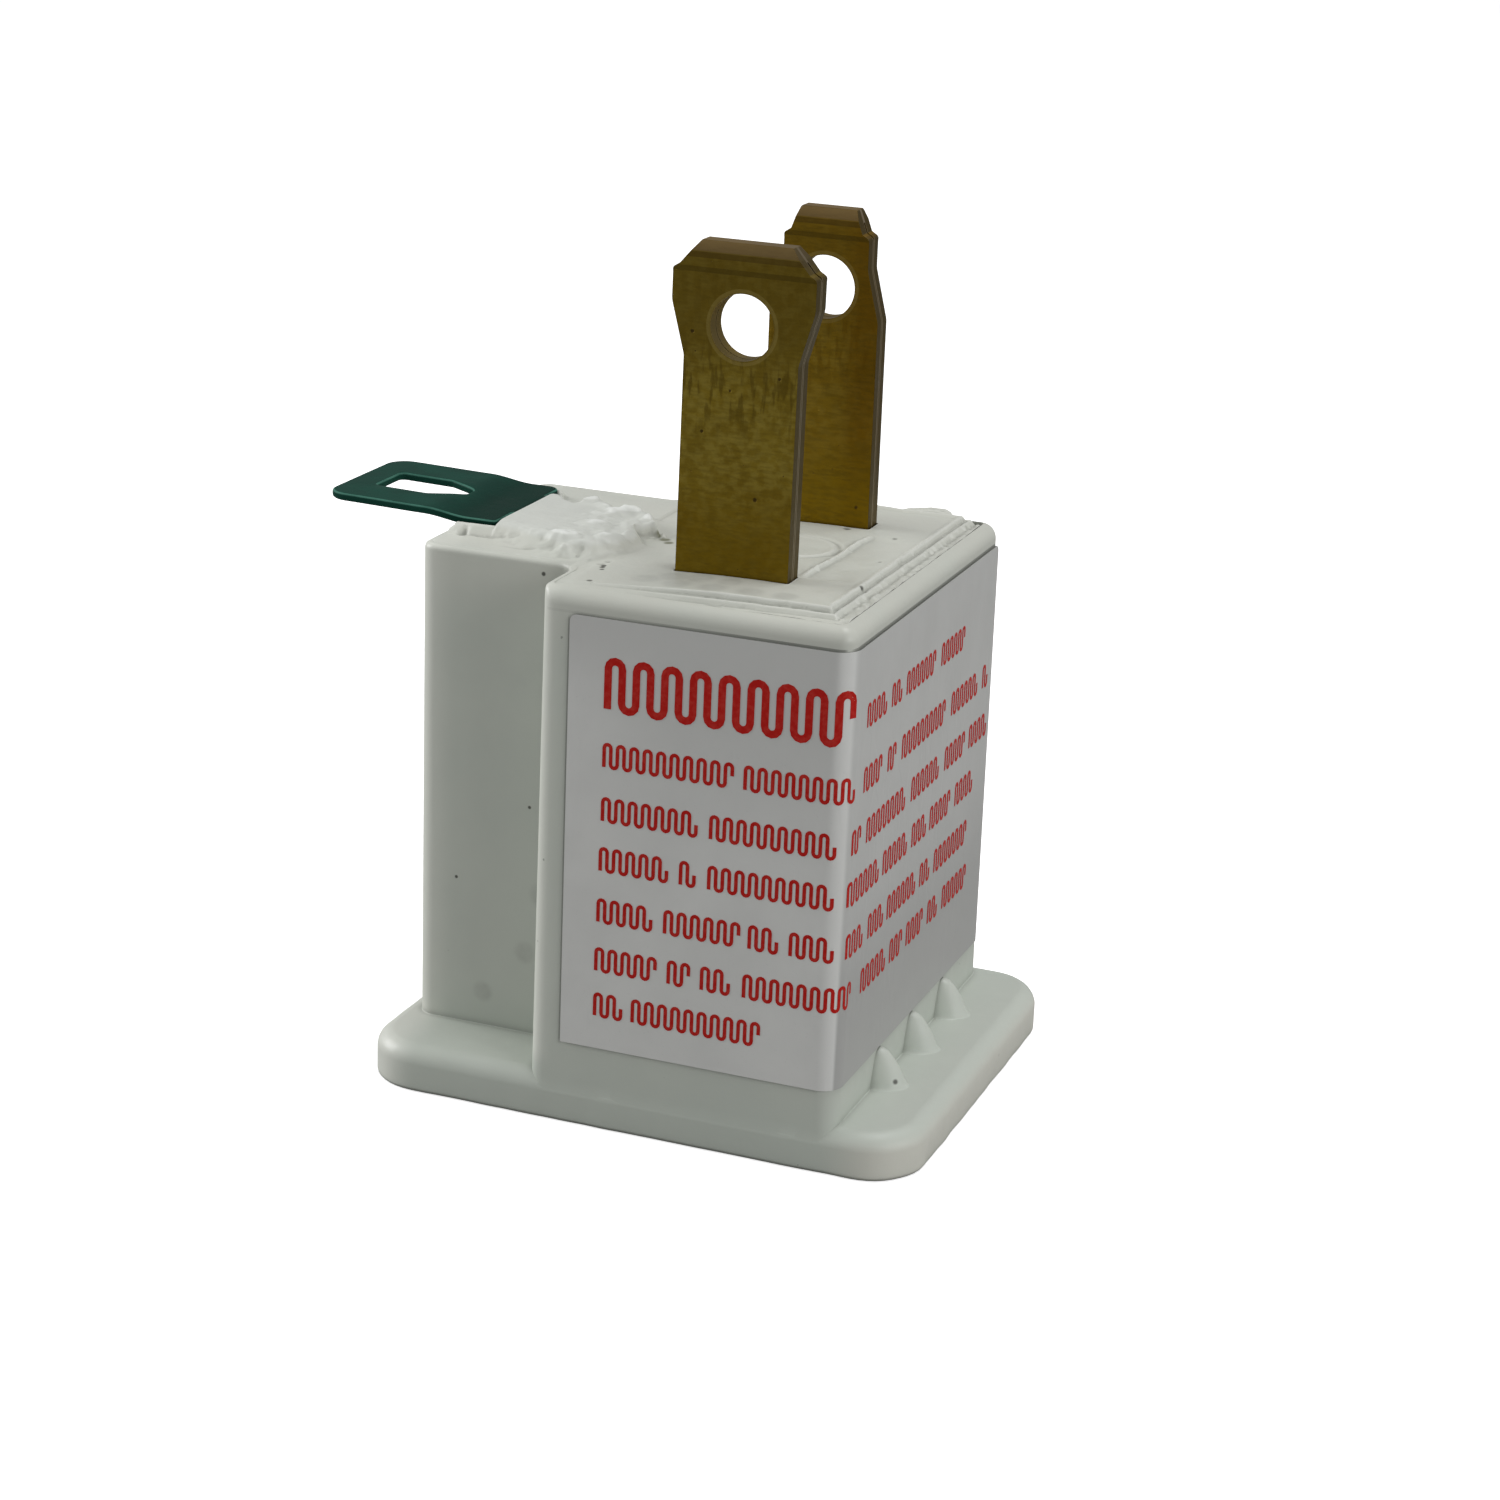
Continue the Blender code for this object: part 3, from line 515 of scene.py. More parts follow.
PLASTIC_SPECKS = (
    (-10.4, -7.9, 29.35, 0.16), (-15.4, -7.9, 11.2, 0.13), (-11.0, -7.9, 16.0, 0.13),
    (-10.35, -7.9, 14.3, 0.11), (10.22, -6.02, 3.02, 0.22), (2.1, 5.2, 30.53, 0.30),
    (7.0, -6.0, 30.5, 0.26), (5.15, 4.5, 30.53, 0.22), (6.0, -0.5, 30.53, 0.20),
    (-16.6, -5.25, 30.5, 0.28), (-7.3, -7.2, 30.2, 0.22), (-6.5, -10.7, 30.25, 0.22),
    (-7.05, -7.6, 30.2, 0.20), (-6.95, -8.0, 30.2, 0.20), (-6.80, -8.4, 30.2, 0.17),
)
# Painted shadow under the ragged drop at the weld's right end
WELD_DROP_SHADOW = ((-6.7, -0.7, 30.3, 0.42), (-6.2, -1.2, 30.27, 0.42), (-5.75, -1.75, 30.25, 0.36))
# Smears on the neck's front, then painted shade of the near blade on the top just in front of it
SMEARS_AND_BLADE_SHADE = (
    (-13.7, -7.9, 4.6, 0.75), (-11.15, -7.9, 7.4, 0.8), (-10.2, -7.9, 11.0, 0.9), (-2.7, -8.3, 30.4, 1.1),
    (-1.3, -8.1, 30.4, 1.1), (0.4, -8.2, 30.4, 0.9), (-3.9, -9.2, 30.3, 1.0), (-2.0, -9.6, 30.3, 1.0),
    (0.0, -9.6, 30.4, 1.0), (2.0, -9.5, 30.4, 1.0), (3.9, -9.4, 30.4, 0.9),
)


def plastic_material(name, finishes, relief, creased=0.0):
    """Pale moulded plastic: mottling, specks, smears, warmer painted light at the rim, painted shade and
    highlights at creases.
    """
    paint = Paint(name, finishes.plastic)
    cloud = paint.noise(0.22, 4.0)
    paint.over((0.50, 0.535, 0.49), paint.fade(cloud, 0.3, 0.7, 0.35))
    # Painted light: upper walls and rim lighter and warmer, where light comes through the plastic
    paint.over(finishes.plastic_lit_rim, paint.span("Z", 26.0, 30.0), paint.fade(cloud, 0.2, 0.7, low=0.5))
    for shade, *spans in PLASTIC_TINTS_AND_PAINTED_LIGHT:
        paint.over(shade, *(paint.span(*span) for span in spans))

    # Painted shadow: dark lines on the plastic along the upper and left edges of the label
    front = paint.span("Y", -12.20, -12.35)
    above = (
        paint.line("Z", 28.91, 0.07), paint.number("MAXIMUM", front, paint.span("X", 8.6, 8.8)),
        paint.span("X", -6.8, 6.0, 0.7, 0.1), paint.span("Y", 11.7, 11.5),
    )
    beside = (
        paint.line("X", -6.82, 0.07), front, paint.span("Z", 4.5, 5.0, 0.55), paint.span("Z", 28.8, 28.4),
    )
    paint.over((0.16, 0.165, 0.15), paint.number("MAXIMUM", paint.times(*above), paint.times(*beside)))

    # Smears on the neck, and painted shade of the near blade on the top in front of its foot
    paint.over((0.34, 0.35, 0.32), paint.spots(SMEARS_AND_BLADE_SHADE), paint.noise(1.6, 5.0), 0.60)
    # Painted shadow under the ragged drop at the weld's right end
    paint.over((0.20, 0.205, 0.14), paint.spots(WELD_DROP_SHADOW))
    # Painted shade in creases and corners, from ambient occlusion
    open_sky = paint.add("ShaderNodeAmbientOcclusion", {"Distance": 0.7 * MM}, samples=6).outputs["AO"]
    paint.over((0.24, 0.255, 0.225), paint.fade(open_sky, 0.85, 0.30, 0.75))
    stray = paint.fade(paint.noise(2.3, 1.0), 0.80, 0.84, 0.5)
    paint.over((0.05, 0.05, 0.04), paint.number("MAXIMUM", paint.spots(PLASTIC_SPECKS), stray), 0.92)
    # Painted shade in the top's hollow creases and painted highlights on its crests
    if creased:
        bent = paint.add("ShaderNodeNewGeometry").outputs["Pointiness"]
        level = paint.span("Z", 30.80, 30.62, low=0.25)
        paint.over((0.25, 0.255, 0.225), paint.fade(bent, 0.497, 0.465, creased), level)
        paint.over((0.76, 0.77, 0.73), paint.fade(bent, 0.505, 0.54, creased), level)
    height = paint.number("ADD", paint.noise(3.5, 5.0), paint.times(paint.noise(0.55), 3.0))
    return paint.finish({
        "Roughness": paint.fade(paint.noise(0.9, 4.0), 0.25, 0.75, 0.50, 0.34), "Specular IOR Level": 0.42,
        "Normal": paint.bump(height, relief, 0.02),
    })


BRASS_PITS = (
    (1.2, -7.1, 34.7, 0.16), (-1.9, -7.1, 38.0, 0.13), (-2.6, -7.1, 43.2, 0.14), (2.3, -7.1, 41.2, 0.12),
    (-0.4, -7.1, 40.3, 0.10), (1.4, 5.6, 39.2, 0.14), (2.2, 5.6, 36.4, 0.13), (0.9, 5.6, 33.6, 0.16),
    (2.4, 5.6, 31.6, 0.17), (-0.6, 5.6, 46.0, 0.12),
)


def brass_material(name, finishes, size, darkness=0.0):
    """Tarnished brass: olive film, rolled lines, runs under the heads, pits, and rings at the holes."""
    paint = Paint(name, finishes.brass)
    far = paint.span("Y", -1.0, 1.0)
    cloud = paint.noise(0.32, 6.0)
    streak = paint.noise(2.4, 5.0, (1.0, 1.0, 0.20))
    rolled = paint.noise(5.5, 4.0, (0.22, 1.0, 1.0))
    paint.over(finishes.oxide, paint.fade(cloud, 0.36, 0.66, 0.70))
    paint.over((0.42, 0.33, 0.07), paint.fade(paint.noise(2.0, 6.0), 0.40, 0.62, 0.45))
    runs = paint.fade(streak, 0.50, 0.60, 0.60)
    paint.over((0.11, 0.072, 0.009), runs, paint.span("Z", 36.8, 40.0), paint.span("Z", 43.5, 41.5, low=0.35))
    paint.over((0.15, 0.098, 0.012), paint.span("Z", 40.0, 43.5, 0.68))
    paint.over((0.33, 0.185, 0.010), far, 0.45)
    paint.over((0.21, 0.105, 0.005), paint.span("X", 0.6, 2.4), far, 0.6)
    paint.over((0.25, 0.152, 0.0055), paint.span("Z", 37.0, 31.5, 0.75), paint.fade(far, 0.0, 1.0, low=0.90))
    paint.over((0.13, 0.080, 0.006), paint.span("Z", 36.5, 31.5, 0.35), paint.fade(far, 0.6, 0.0))
    paint.over((0.14, 0.095, 0.012), paint.fade(rolled, 0.38, 0.70, 0.40))

    # Facet of the fold, the dark band under it, and the shoulder's line
    paint.over((0.24, 0.165, 0.075), paint.span("Z", 47.34, 47.46, 0.80))
    paint.over((0.09, 0.055, 0.014), paint.line("Z", 47.21, 0.15), 0.55)
    paint.over((0.09, 0.06, 0.01), paint.line("Z", SHOULDER / MM, 0.14), 0.55)

    # Scraped ring, round the middle to which each blade's lean brings its hole
    hole, base, middle = size.hole_height / MM, size.base / MM, size.spacing / 2 / MM
    near_lean, far_lean = (LEANS[key][0] * (hole - base) for key in ("neutral", "line"))
    beside = paint.number("SUBTRACT", paint.axes["X"], paint.fade(far, 0.0, 1.0, far_lean, near_lean))
    above = paint.number("SUBTRACT", paint.axes["Z"], hole)
    away = paint.add("ShaderNodeCombineXYZ", {"X": beside, "Y": above}).outputs["Vector"]
    away = paint.add("ShaderNodeVectorMath", {0: away}, operation="LENGTH").outputs["Value"]
    paint.over((0.46, 0.36, 0.12), paint.number("COMPARE", away, 1.90, 0.09), 0.28)

    # Cut edges, the line between the two layers in them, and the hole's wall with painted light on its left
    # side
    cut = paint.fade(paint.number("ABSOLUTE", paint.facing("X")), 0.55, 0.90, 0.92)
    paint.over((0.100, 0.070, 0.018), cut)
    lean = paint.times(paint.number("SUBTRACT", paint.axes["Z"], base), LEANS["line"][1])
    near_fold = paint.number("ABSOLUTE", paint.number("ADD", paint.axes["Y"], middle))
    far_fold = paint.number("SUBTRACT", paint.axes["Y"], paint.number("ADD", lean, middle))
    fold = paint.number("MINIMUM", near_fold, paint.number("ABSOLUTE", far_fold))
    paint.over((0.33, 0.27, 0.18), paint.fade(fold, 0.17, 0.09), cut)
    # The hole's wall is lighter, with painted light making it lightest on its left side
    paint.over((0.30, 0.22, 0.07), paint.fade(away, 1.82, 1.76), paint.fade(beside, 0.2, -0.6, 0.8, 0.3))

    strays = paint.fade(paint.noise(3.0, 1.0), 0.79, 0.82)
    pits = paint.number("MAXIMUM", paint.spots(BRASS_PITS), strays)
    paint.over((0.05, 0.03, 0.01), pits, 0.85)
    paint.over((0.080, 0.055, 0.013), darkness)
    height = paint.number("SUBTRACT", paint.times(streak, 0.5), paint.times(pits, 2.0))
    return paint.finish({
        "Roughness": paint.fade(cloud, 0.25, 0.75, 0.58, 0.42), "Metallic": 0.95, "IOR": 1.2,
        "Normal": paint.bump(paint.number("ADD", height, rolled), 0.5, 0.03),
    })


def clean_brass_material(name, finishes):
    """Brighter sprung brass with faint drawing lines."""
    paint = Paint(name, finishes.clean_brass)
    lines = paint.noise(2.2, 4.0, (1.0, 1.0, 0.08))
    paint.over((0.34, 0.24, 0.07), paint.fade(paint.noise(0.4, 4.0), 0.3, 0.7))
    return paint.finish({
        "Roughness": paint.fade(lines, 0.2, 0.8, 0.46, 0.28), "Metallic": 1.0,
        "Normal": paint.bump(lines, 0.35, 0.02),
    })


def steel_material(name, finishes):
    """Plated steel with fine turning marks."""
    paint = Paint(name, finishes.steel)
    cloud = paint.noise(1.2, 5.0)
    paint.over((0.28, 0.27, 0.24), paint.fade(cloud, 0.35, 0.7))
    return paint.finish({
        "Roughness": paint.fade(cloud, 0.2, 0.8, 0.48, 0.30), "Metallic": 1.0,
        "Normal": paint.bump(paint.noise(6.0, 2.0), 0.3, 0.02),
    })


def enamel_material(name, finishes):
    """Glossy green enamel with painted highlights on its rounded edges, and with dust and small dents."""
    paint = Paint(name, finishes.enamel)
    cloud = paint.noise(0.45, 4.0)
    paint.over((0.012, 0.060, 0.043), paint.fade(cloud, 0.3, 0.75))
    paint.over((0.003, 0.020, 0.014), paint.span("X", -19.5, -16.5, 0.75))
    tilt = paint.facing("Z")
    # Painted highlight on the rounded edges, found by how far the surface tilts
    rounding = paint.times(paint.fade(tilt, 0.25, 0.6), paint.fade(tilt, 0.985, 0.9))
    paint.over((0.075, 0.20, 0.155), rounding, paint.fade(cloud, 0.25, 0.6, 0.9, 0.35))
    paint.over((0.004, 0.016, 0.012), paint.fade(paint.noise(2.8, 2.0), 0.74, 0.78, 0.5))
    return paint.finish({
        "Roughness": paint.fade(cloud, 0.2, 0.8, 0.34, 0.20), "IOR": 1.06,
        "Normal": paint.bump(paint.noise(1.4), 0.4, 0.03),
    })


def film_material(name, shade):
    """Satin label film with faint creases and a fine grain, painted shade mid-face, a painted highlight at
    the bend and painted shade past it.
    """
    paint = Paint(name, shade)
    dim, turned = (tuple(share * part for part in shade) for share in (0.84, 0.60))
    cloud = paint.noise(0.25)
    paint.over(dim, paint.fade(cloud, 0.3, 0.7, 0.4))
    # Painted shade over the film's middle and upper part
    inner = paint.times(paint.span("X", -6.5, 0.0), paint.span("Z", 13.0, 30.0, 1.3))
    inner = paint.number("MAXIMUM", inner, paint.span("Z", 23.5, 28.5))
    paint.over(dim, inner, paint.span("X", 8.5, 7.9))
    # Painted highlight at the bend round the corner
    paint.over(shade, paint.span("X", 7.9, 8.55), paint.span("X", 8.95, 8.76))
    # Painted shade on the right face, most towards the bottom
    paint.over(turned, paint.span("X", 8.76, 8.95), paint.span("Z", 18.0, 4.0, 1.25, 0.58))
    paint.over((0.40, 0.40, 0.40), paint.fade(paint.noise(9.0, 2.0), 0.66, 0.72, 0.12))
    crease = paint.fade(paint.noise(0.5, 2.0, (1.0, 1.0, 0.5)), 0.47, 0.53)
    height = paint.number("ADD", crease, paint.times(paint.noise(5.0), 0.4))
    return paint.finish({
        "Roughness": paint.fade(cloud, 0.2, 0.8, 0.42, 0.30), "IOR": 1.34,
        "Normal": paint.bump(height, 0.25, 0.02),
    })


def ink_material(name, finishes):
    """Red ink, thinner in places."""
    paint = Paint(name, finishes.ink)
    thin = paint.noise(4.0, 4.0)
    paint.over((0.58, 0.06, 0.045), paint.fade(thin, 0.35, 0.75, 0.45))
    return paint.finish({
        "Roughness": paint.fade(thin, 0.2, 0.8, 0.5, 0.38), "IOR": 1.2, "Normal": paint.bump(thin, 0.2, 0.01),
    })


# Shell

# Walls, ribs and pockets
WALL = 2.4 * MM
RIM_WALL = 1.7 * MM
FACE_PLATE = 3.2 * MM
WEB = 1.8 * MM
WELL_HALF = 3.7 * MM
RIB = 1.3 * MM
RIB_TOP = 26.3 * MM
POCKET_ROUND = 0.3 * MM
OVERRUN = 2 * MM

# Foot of the walls, whose cove runs out towards the front
COVE = 0.06 * MM
COVE_RUN_OUT = (1.2 * MM, 2.6 * MM)
FLUSH_STEP = 0.03 * MM
FACE_ROUND = 0.24 * MM
FLANGE_STRAY = (0.05 * MM, 1.7 * MM, 3)

# Seat of the welded top
SEAT_DEPTH = 0.6 * MM
SEAT_NECK_INSET = 0.45 * MM
SEAT_LEFT_INSET = 0.65 * MM
LEDGE_DEPTH = 2 * MM

# Openings in the receptacle face
SLOT_LENGTHS = (8.8 * MM, 7.1 * MM)
SLOT_HALF_WIDTH = 1.15 * MM
GROUND_X = -11.9 * MM
GROUND_HALF_WIDTH = 2.75 * MM
GROUND_HALF_LENGTH = 3.1 * MM
LEAD_IN = 0.5 * MM
LEAD_PAST = 0.4 * MM

# Reach and rise of a gusset's flank, as shares of its depth and height
GUSSET_PROFILE = (
    (1.12, -0.10), (1.05, 0.0), (0.98, 0.03), (0.93, 0.08), (0.87, 0.18), (0.77, 0.37), (0.64, 0.57),
    (0.51, 0.74), (0.40, 0.86), (0.30, 0.93), (0.19, 0.98), (0.07, 1.0),
)
GUSSET_SIDES = 40
GUSSET_WIDTH = 0.60
GUSSET_SKEW = 0.10


def gusset(size, middle):
    """Half-buried flared cone against the right wall."""
    rings = []
    for reach, rise in GUSSET_PROFILE:
        outline = []
        for side in range(GUSSET_SIDES):
            angle = math.tau * side / GUSSET_SIDES
            across = math.sin(angle)
            half_width = GUSSET_WIDTH * size.gusset_depth * reach * (1 - GUSSET_SKEW * across)
            x = size.block_right - 0.1 * MM + size.gusset_depth * reach * math.cos(angle)
            outline.append((x, middle + half_width * across))
        rings.append((outline, size.flange_thickness - 0.02 * MM + size.gusset_height * rise))
    return skin(rings)


def wall_rings(size):
    """Outlines of the walls, from the cove at the flange up to the rounded rim."""
    draft = math.tan(size.draft)
    foot = size.flange_thickness
    straight = size.rim_height - size.rim_round
    drawn_in = FLUSH_STEP + draft * (straight - foot - COVE)

    def cove_ring(inset):
        plain = divided(body_outline(size, 0, 0, FLUSH_STEP))
        grown = divided(body_outline(size, inset, inset, FLUSH_STEP))
        start, end = (run_out - size.half_depth for run_out in COVE_RUN_OUT)
        return [point.lerp(wide, float(ramp(point.y, start, end))) for point, wide in zip(plain, grown)]

    rings = [(cove_ring(-COVE), foot / 4)]
    rings += [(cove_ring(up - COVE), foot + across) for across, up in quarter(COVE)]
    for across, up in quarter(size.rim_round, 12):
        climb = max(straight + up - (size.rim_height - size.neck_rim_round), 0)
        neck = size.neck_rim_round - math.sqrt(max(size.neck_rim_round ** 2 - climb ** 2, 0))
        inset = drawn_in + across
        rings.append((divided(body_outline(size, inset, neck, inset, drawn_in + neck)), straight + up))
    return rings


def flange(size):
    """Flange with a small lower and a wide upper rounding, slightly uneven as moulded edges are."""
    lower = [(FACE_ROUND - up, across) for across, up in quarter(FACE_ROUND, 3)]
    upper_edge = size.flange_thickness - size.flange_edge
    upper = [(across, upper_edge + up) for across, up in quarter(size.flange_edge, 10)]
    rings = []
    for inset, height in lower + upper:
        outline = box_outline(
            size.flange_left + inset, size.flange_right - inset, inset - size.half_depth,
            size.flange_back - inset, size.flange_round - inset,
        )
        rings.append((strayed(divided(outline, 60), *FLANGE_STRAY), height))
    return skin(rings)


def cut_seat(shell, size):
    """Seat for the welded top and the ledge below it."""
    above = size.rim_height + OVERRUN
    seam = size.seam_inset
    seat = body_outline(size, seam, SEAT_NECK_INSET, seam, SEAT_LEFT_INSET)
    combine(shell, prism(seat, size.rim_height - SEAT_DEPTH, above), "DIFFERENCE")
    ledge = body_outline(size, RIM_WALL, RIM_WALL, RIM_WALL)
    combine(shell, prism(ledge, size.rim_height - LEDGE_DEPTH, above), "DIFFERENCE")


def cut_pockets(shell, size):
    """Pockets for the leaves on both sides of the web, and the well for the ground contact."""
    above = size.rim_height + OVERRUN
    left = size.block_left + WALL
    right = size.block_right - WALL
    spans = (
        (-WELL_HALF, WELL_HALF, FACE_PLATE, 0), (left, -WELL_HALF - RIB, FACE_PLATE, 0),
        (WELL_HALF + RIB, right, FACE_PLATE, 0), (left, right, RIB_TOP, FLUSH_STEP),
    )
    for side in (-1, 1):
        front, back = sorted((side * WEB / 2, side * (size.half_depth - WALL)))
        for start, end, bottom, grow in spans:
            outline = box_outline(start - grow, end + grow, front - grow, back + grow, POCKET_ROUND)
            combine(shell, prism(outline, bottom, above), "DIFFERENCE")
    half = size.neck_half - WALL
    outline = box_outline(size.neck_end + WALL, left - WEB, -half, half, POCKET_ROUND)
    combine(shell, prism(outline, FACE_PLATE, above), "DIFFERENCE")


def blade_slot(middle, reach, grow):
    """Outline of a blade's opening, grown outwards."""
    wide = SLOT_HALF_WIDTH + grow
    return box_outline(-reach / 2 - grow, reach / 2 + grow, middle - wide, middle + wide, wide / 3)


def ground_opening(grow):
    """Outline of the ground pin's opening, round at the outer end, grown outwards."""
    half_width = GROUND_HALF_WIDTH + grow
    start = GROUND_X - GROUND_HALF_LENGTH - grow
    end = GROUND_X + GROUND_HALF_LENGTH + grow
    bend = half_width - 0.05 * MM
    return rounded([
        (start, -half_width, bend), (end, -half_width, half_width / 4),
        (end, half_width, half_width / 4), (start, half_width, bend),
    ])


def lead_in(outline):
    """Opening through the face plate, flared at the receptacle face by a rounded lip."""
    rings = [(outline(LEAD_IN + LEAD_PAST), -LEAD_PAST)]
    rings += [(outline(LEAD_IN - up), across) for across, up in quarter(LEAD_IN, 4)]
    return skin(rings + [(outline(0), FACE_PLATE + MM)])


def build_shell(size, material):
    """Shell with its flange, gussets, seat, pockets and openings."""
    shell = new_object("moulded_shell", mesh_of(skin(wall_rings(size)), "moulded_shell"))
    combine(shell, flange(size), "UNION")
    for step in (-1, 0, 1):
        combine(shell, gusset(size, step * size.gusset_pitch), "UNION")
    cut_seat(shell, size)
    cut_pockets(shell, size)
    middle = bpy.context.scene.adapter_blades.spacing / 2
    for place in zip((-middle, middle), SLOT_LENGTHS):
        combine(shell, lead_in(functools.partial(blade_slot, *place)), "DIFFERENCE")
    combine(shell, lead_in(ground_opening), "DIFFERENCE")
    bake(shell)
    finished(shell, 32, material)
    weighted(shell)
    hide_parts("housing")


# Welded top, whose height is a function of the plan in millimetres

TOP_OVERLAP = 0.02 * MM
TOP_CLEAR = 32 * MM
TOP_STRAY = (0.08 * MM, 0.7 * MM, 11)
CUT_ROOM = 0.10 * MM

# Edge of the weld as (x, y), lumps on it as (x, y, width, depth, rise), and pits as (x, y, width, drop)
WELD_BACK = (
    (-14.9, 2.6), (-14.4, 2.7), (-13.5, 1.9), (-12.8, 1.4), (-12.1, 2.7), (-11.6, 2.5), (-10.4, 1.45),
    (-9.6, 1.3), (-8.9, 1.6), (-8.1, 1.2), (-7.55, 0.5), (-6.6, -0.7),
)
WELD_FRONT = (
    (-14.9, -4.35), (-13.4, -4.9), (-12.0, -5.5), (-10.5, -6.1), (-8.6, -6.2), (-7.4, -5.3), (-6.5, -3.6),
)
WELD_RIGHT = (
    (-6.5, -8.0), (-4.5, -7.1), (-3.0, -6.8), (-1.8, -7.5), (-0.8, -6.7), (0.4, -7.6), (1.6, -8.6),
)
WELD_LUMPS = (
    (-10.4, -5.3, 1.0, 0.6, 0.17), (-8.0, -4.6, 0.85, 0.75, 0.21), (-9.8, -2.4, 0.9, 0.6, 0.15),
    (-10.2, -0.1, 0.7, 0.7, 0.13), (-8.1, -1.4, 0.55, 0.9, 0.15), (-12.4, 2.3, 0.6, 0.6, 0.20),
    (-9.2, 1.0, 0.6, 0.5, 0.20), (-7.7, -0.2, 0.45, 0.6, 0.15), (-12.0, -5.2, 0.6, 0.4, 0.12),
    (-7.4, -3.0, 0.4, 0.6, 0.18),
)
TOP_PITS = (
    (2.1, 5.2, 0.22, 0.10), (7.0, -6.0, 0.20, 0.12), (5.15, 4.5, 0.16, 0.08), (6.0, -0.5, 0.16, 0.06),
    (-7.3, -7.2, 0.20, 0.16), (-6.5, -10.7, 0.16, 0.08), (-7.15, -6.7, 0.15, 0.18), (-16.6, -5.2, 0.22, 0.40),
    (-16.55, -4.9, 0.2, 0.3), (-7.05, -7.7, 0.14, 0.10), (-6.2, -11.0, 0.12, 0.05),
)


def ramp(value, start, end):
    """Smooth step on arrays."""
    share = np.clip((value - start) / (end - start), 0, 1)
    return share * share * (3 - 2 * share)


def bell(value, width):
    """Soft peak at zero on arrays."""
    return np.exp(-(value / width) ** 2)


def lumps(x, y, pitch, seed):
    """Smooth noise from -1 to 1 over a plan."""
    cells = np.random.default_rng(seed).uniform(-1, 1, (256, 256))
    u = x / pitch + 128
    v = y / pitch + 128
    column = np.floor(u).astype(int)
    row = np.floor(v).astype(int)
    across = ramp(u - column, 0, 1)
    along = ramp(v - row, 0, 1)
    near = cells[column % 256, row % 256] * (1 - across) + cells[(column + 1) % 256, row % 256] * across
    far = cells[column % 256, (row + 1) % 256] * (1 - across)
    far += cells[(column + 1) % 256, (row + 1) % 256] * across
    return near * (1 - along) + far * along


def field_top(x, y, grains, field_height):
    """Rim and raised field of the block, with the ridges and the groove that run round the field."""
    fine, small, broad = grains
    block = np.minimum.reduce([x + 8.8, 9.05 - x, 12.66 - abs(y)])
    height = 30.07 + 0.12 * ramp(block, 0.95, 1.7) + 0.006 * small
    height += (0.06 * fine + 0.04 * small) * ramp(x, 7.2, 7.6) * ramp(block, 0.9, 1.2)

    front = y + 11.3 - 0.046 * (x + 8.4) + 0.05 * small
    right = 7.08 - x + 0.012 * y + 0.04 * small
    back = 10.75 - y + 0.05 * small
    inside = np.minimum.reduce([front, right, back])
    melted = ramp(x, -8.4, 2.0)
    field = field_height - 0.27 * (1 - melted) + 0.018 * broad + 0.006 * small
    height += (field - height) * ramp(inside, -0.05, 0.13) * ramp(x, -8.5, -6.4)
    height += 0.13 * bell(inside - 0.22, 0.20) * melted
    height -= 0.12 * bell(inside + 0.50, 0.14) * ramp(x, -5.0, 1.0)
    return height + 0.11 * bell(inside + 0.20, 0.14) * melted


def sunk_panel(x, y, grains):
    """Sunk panel behind a ridge at the right of the blades, and the gate's ring between them."""
    fine, small, _ = grains
    within = ramp(y, -5.7, -4.9) * (1 - ramp(y, 3.7, 4.6))
    beyond = x - 3.5 - 0.044 * (y + 5.3) + 0.06 * small
    rise = -0.10 * ramp(beyond, -0.02, 0.12) * (1 - ramp(beyond, 1.2, 2.6)) * within
    rise += (0.12 + 0.05 * fine) * bell(beyond + 0.05, 0.12) * within
    rise -= 0.06 * bell(beyond + 0.38, 0.12) * within
    ring = np.hypot(x - 1.0, y - 0.3) - 2.3
    return rise - 0.09 * bell(ring, 0.13) + 0.06 * bell(ring + 0.28, 0.12)


def back_flash(x, y, grains):
    """Flash pressed out along the back edge, and the gouge beside it."""
    fine, small, _ = grains
    flash = ramp(y, 10.7, 11.3) * ramp(x, 2.2, 5.4) * (1 - ramp(x, 6.2, 6.9))
    rise = (0.46 + 0.10 * small + 0.06 * fine) * flash
    rise += (0.05 + 0.07 * small) * ramp(y, 11.0, 11.5) * (1 - ramp(x, 3.0, 5.0)) * ramp(x, -7, -5)
    gouge = np.hypot(np.clip(x, 6.3, 8.0) - x, 11.45 - y)
    return rise - 0.45 * bell(gouge, 0.16)


def with_neck(height, x, y, grains, pad_height):
    """Height with the neck's rim, the pad round the tab and the two creases along the neck's front."""
    fine, small, broad = grains
    depth = abs(y)
    on_neck = 1 - ramp(x, -8.9, -7.0)
    rim = 30.1 + 0.06 * ramp(7.5 - depth, 0, 2.3) + 0.012 * small
    height = height + (rim - height) * (x < -8.3) * (depth < 7.9)
    pad = ramp(5.35 + 0.10 * small - depth, 0.0, 0.8) * ramp(x + 17.55 + 0.22 * fine, 0, 0.14) * on_neck
    pad *= 1 - ramp(y, 1.8, 3.0) * ramp(x, -15.1, -14.8)
    height += (pad_height + 0.03 * broad - height) * pad
    crease = bell(y + 5.25 + 0.1 * small, 0.10) * ramp(x, -16.9, -16.4) * (1 - ramp(x, -12.8, -11.9))
    scratch = bell(y + 6.5 - 0.05 * (x + 16) + 0.2 * small, 0.14) * ramp(x, -15, -13) * (1 - ramp(x, -9, -8))
    return height - 0.10 * crease - 0.06 * scratch


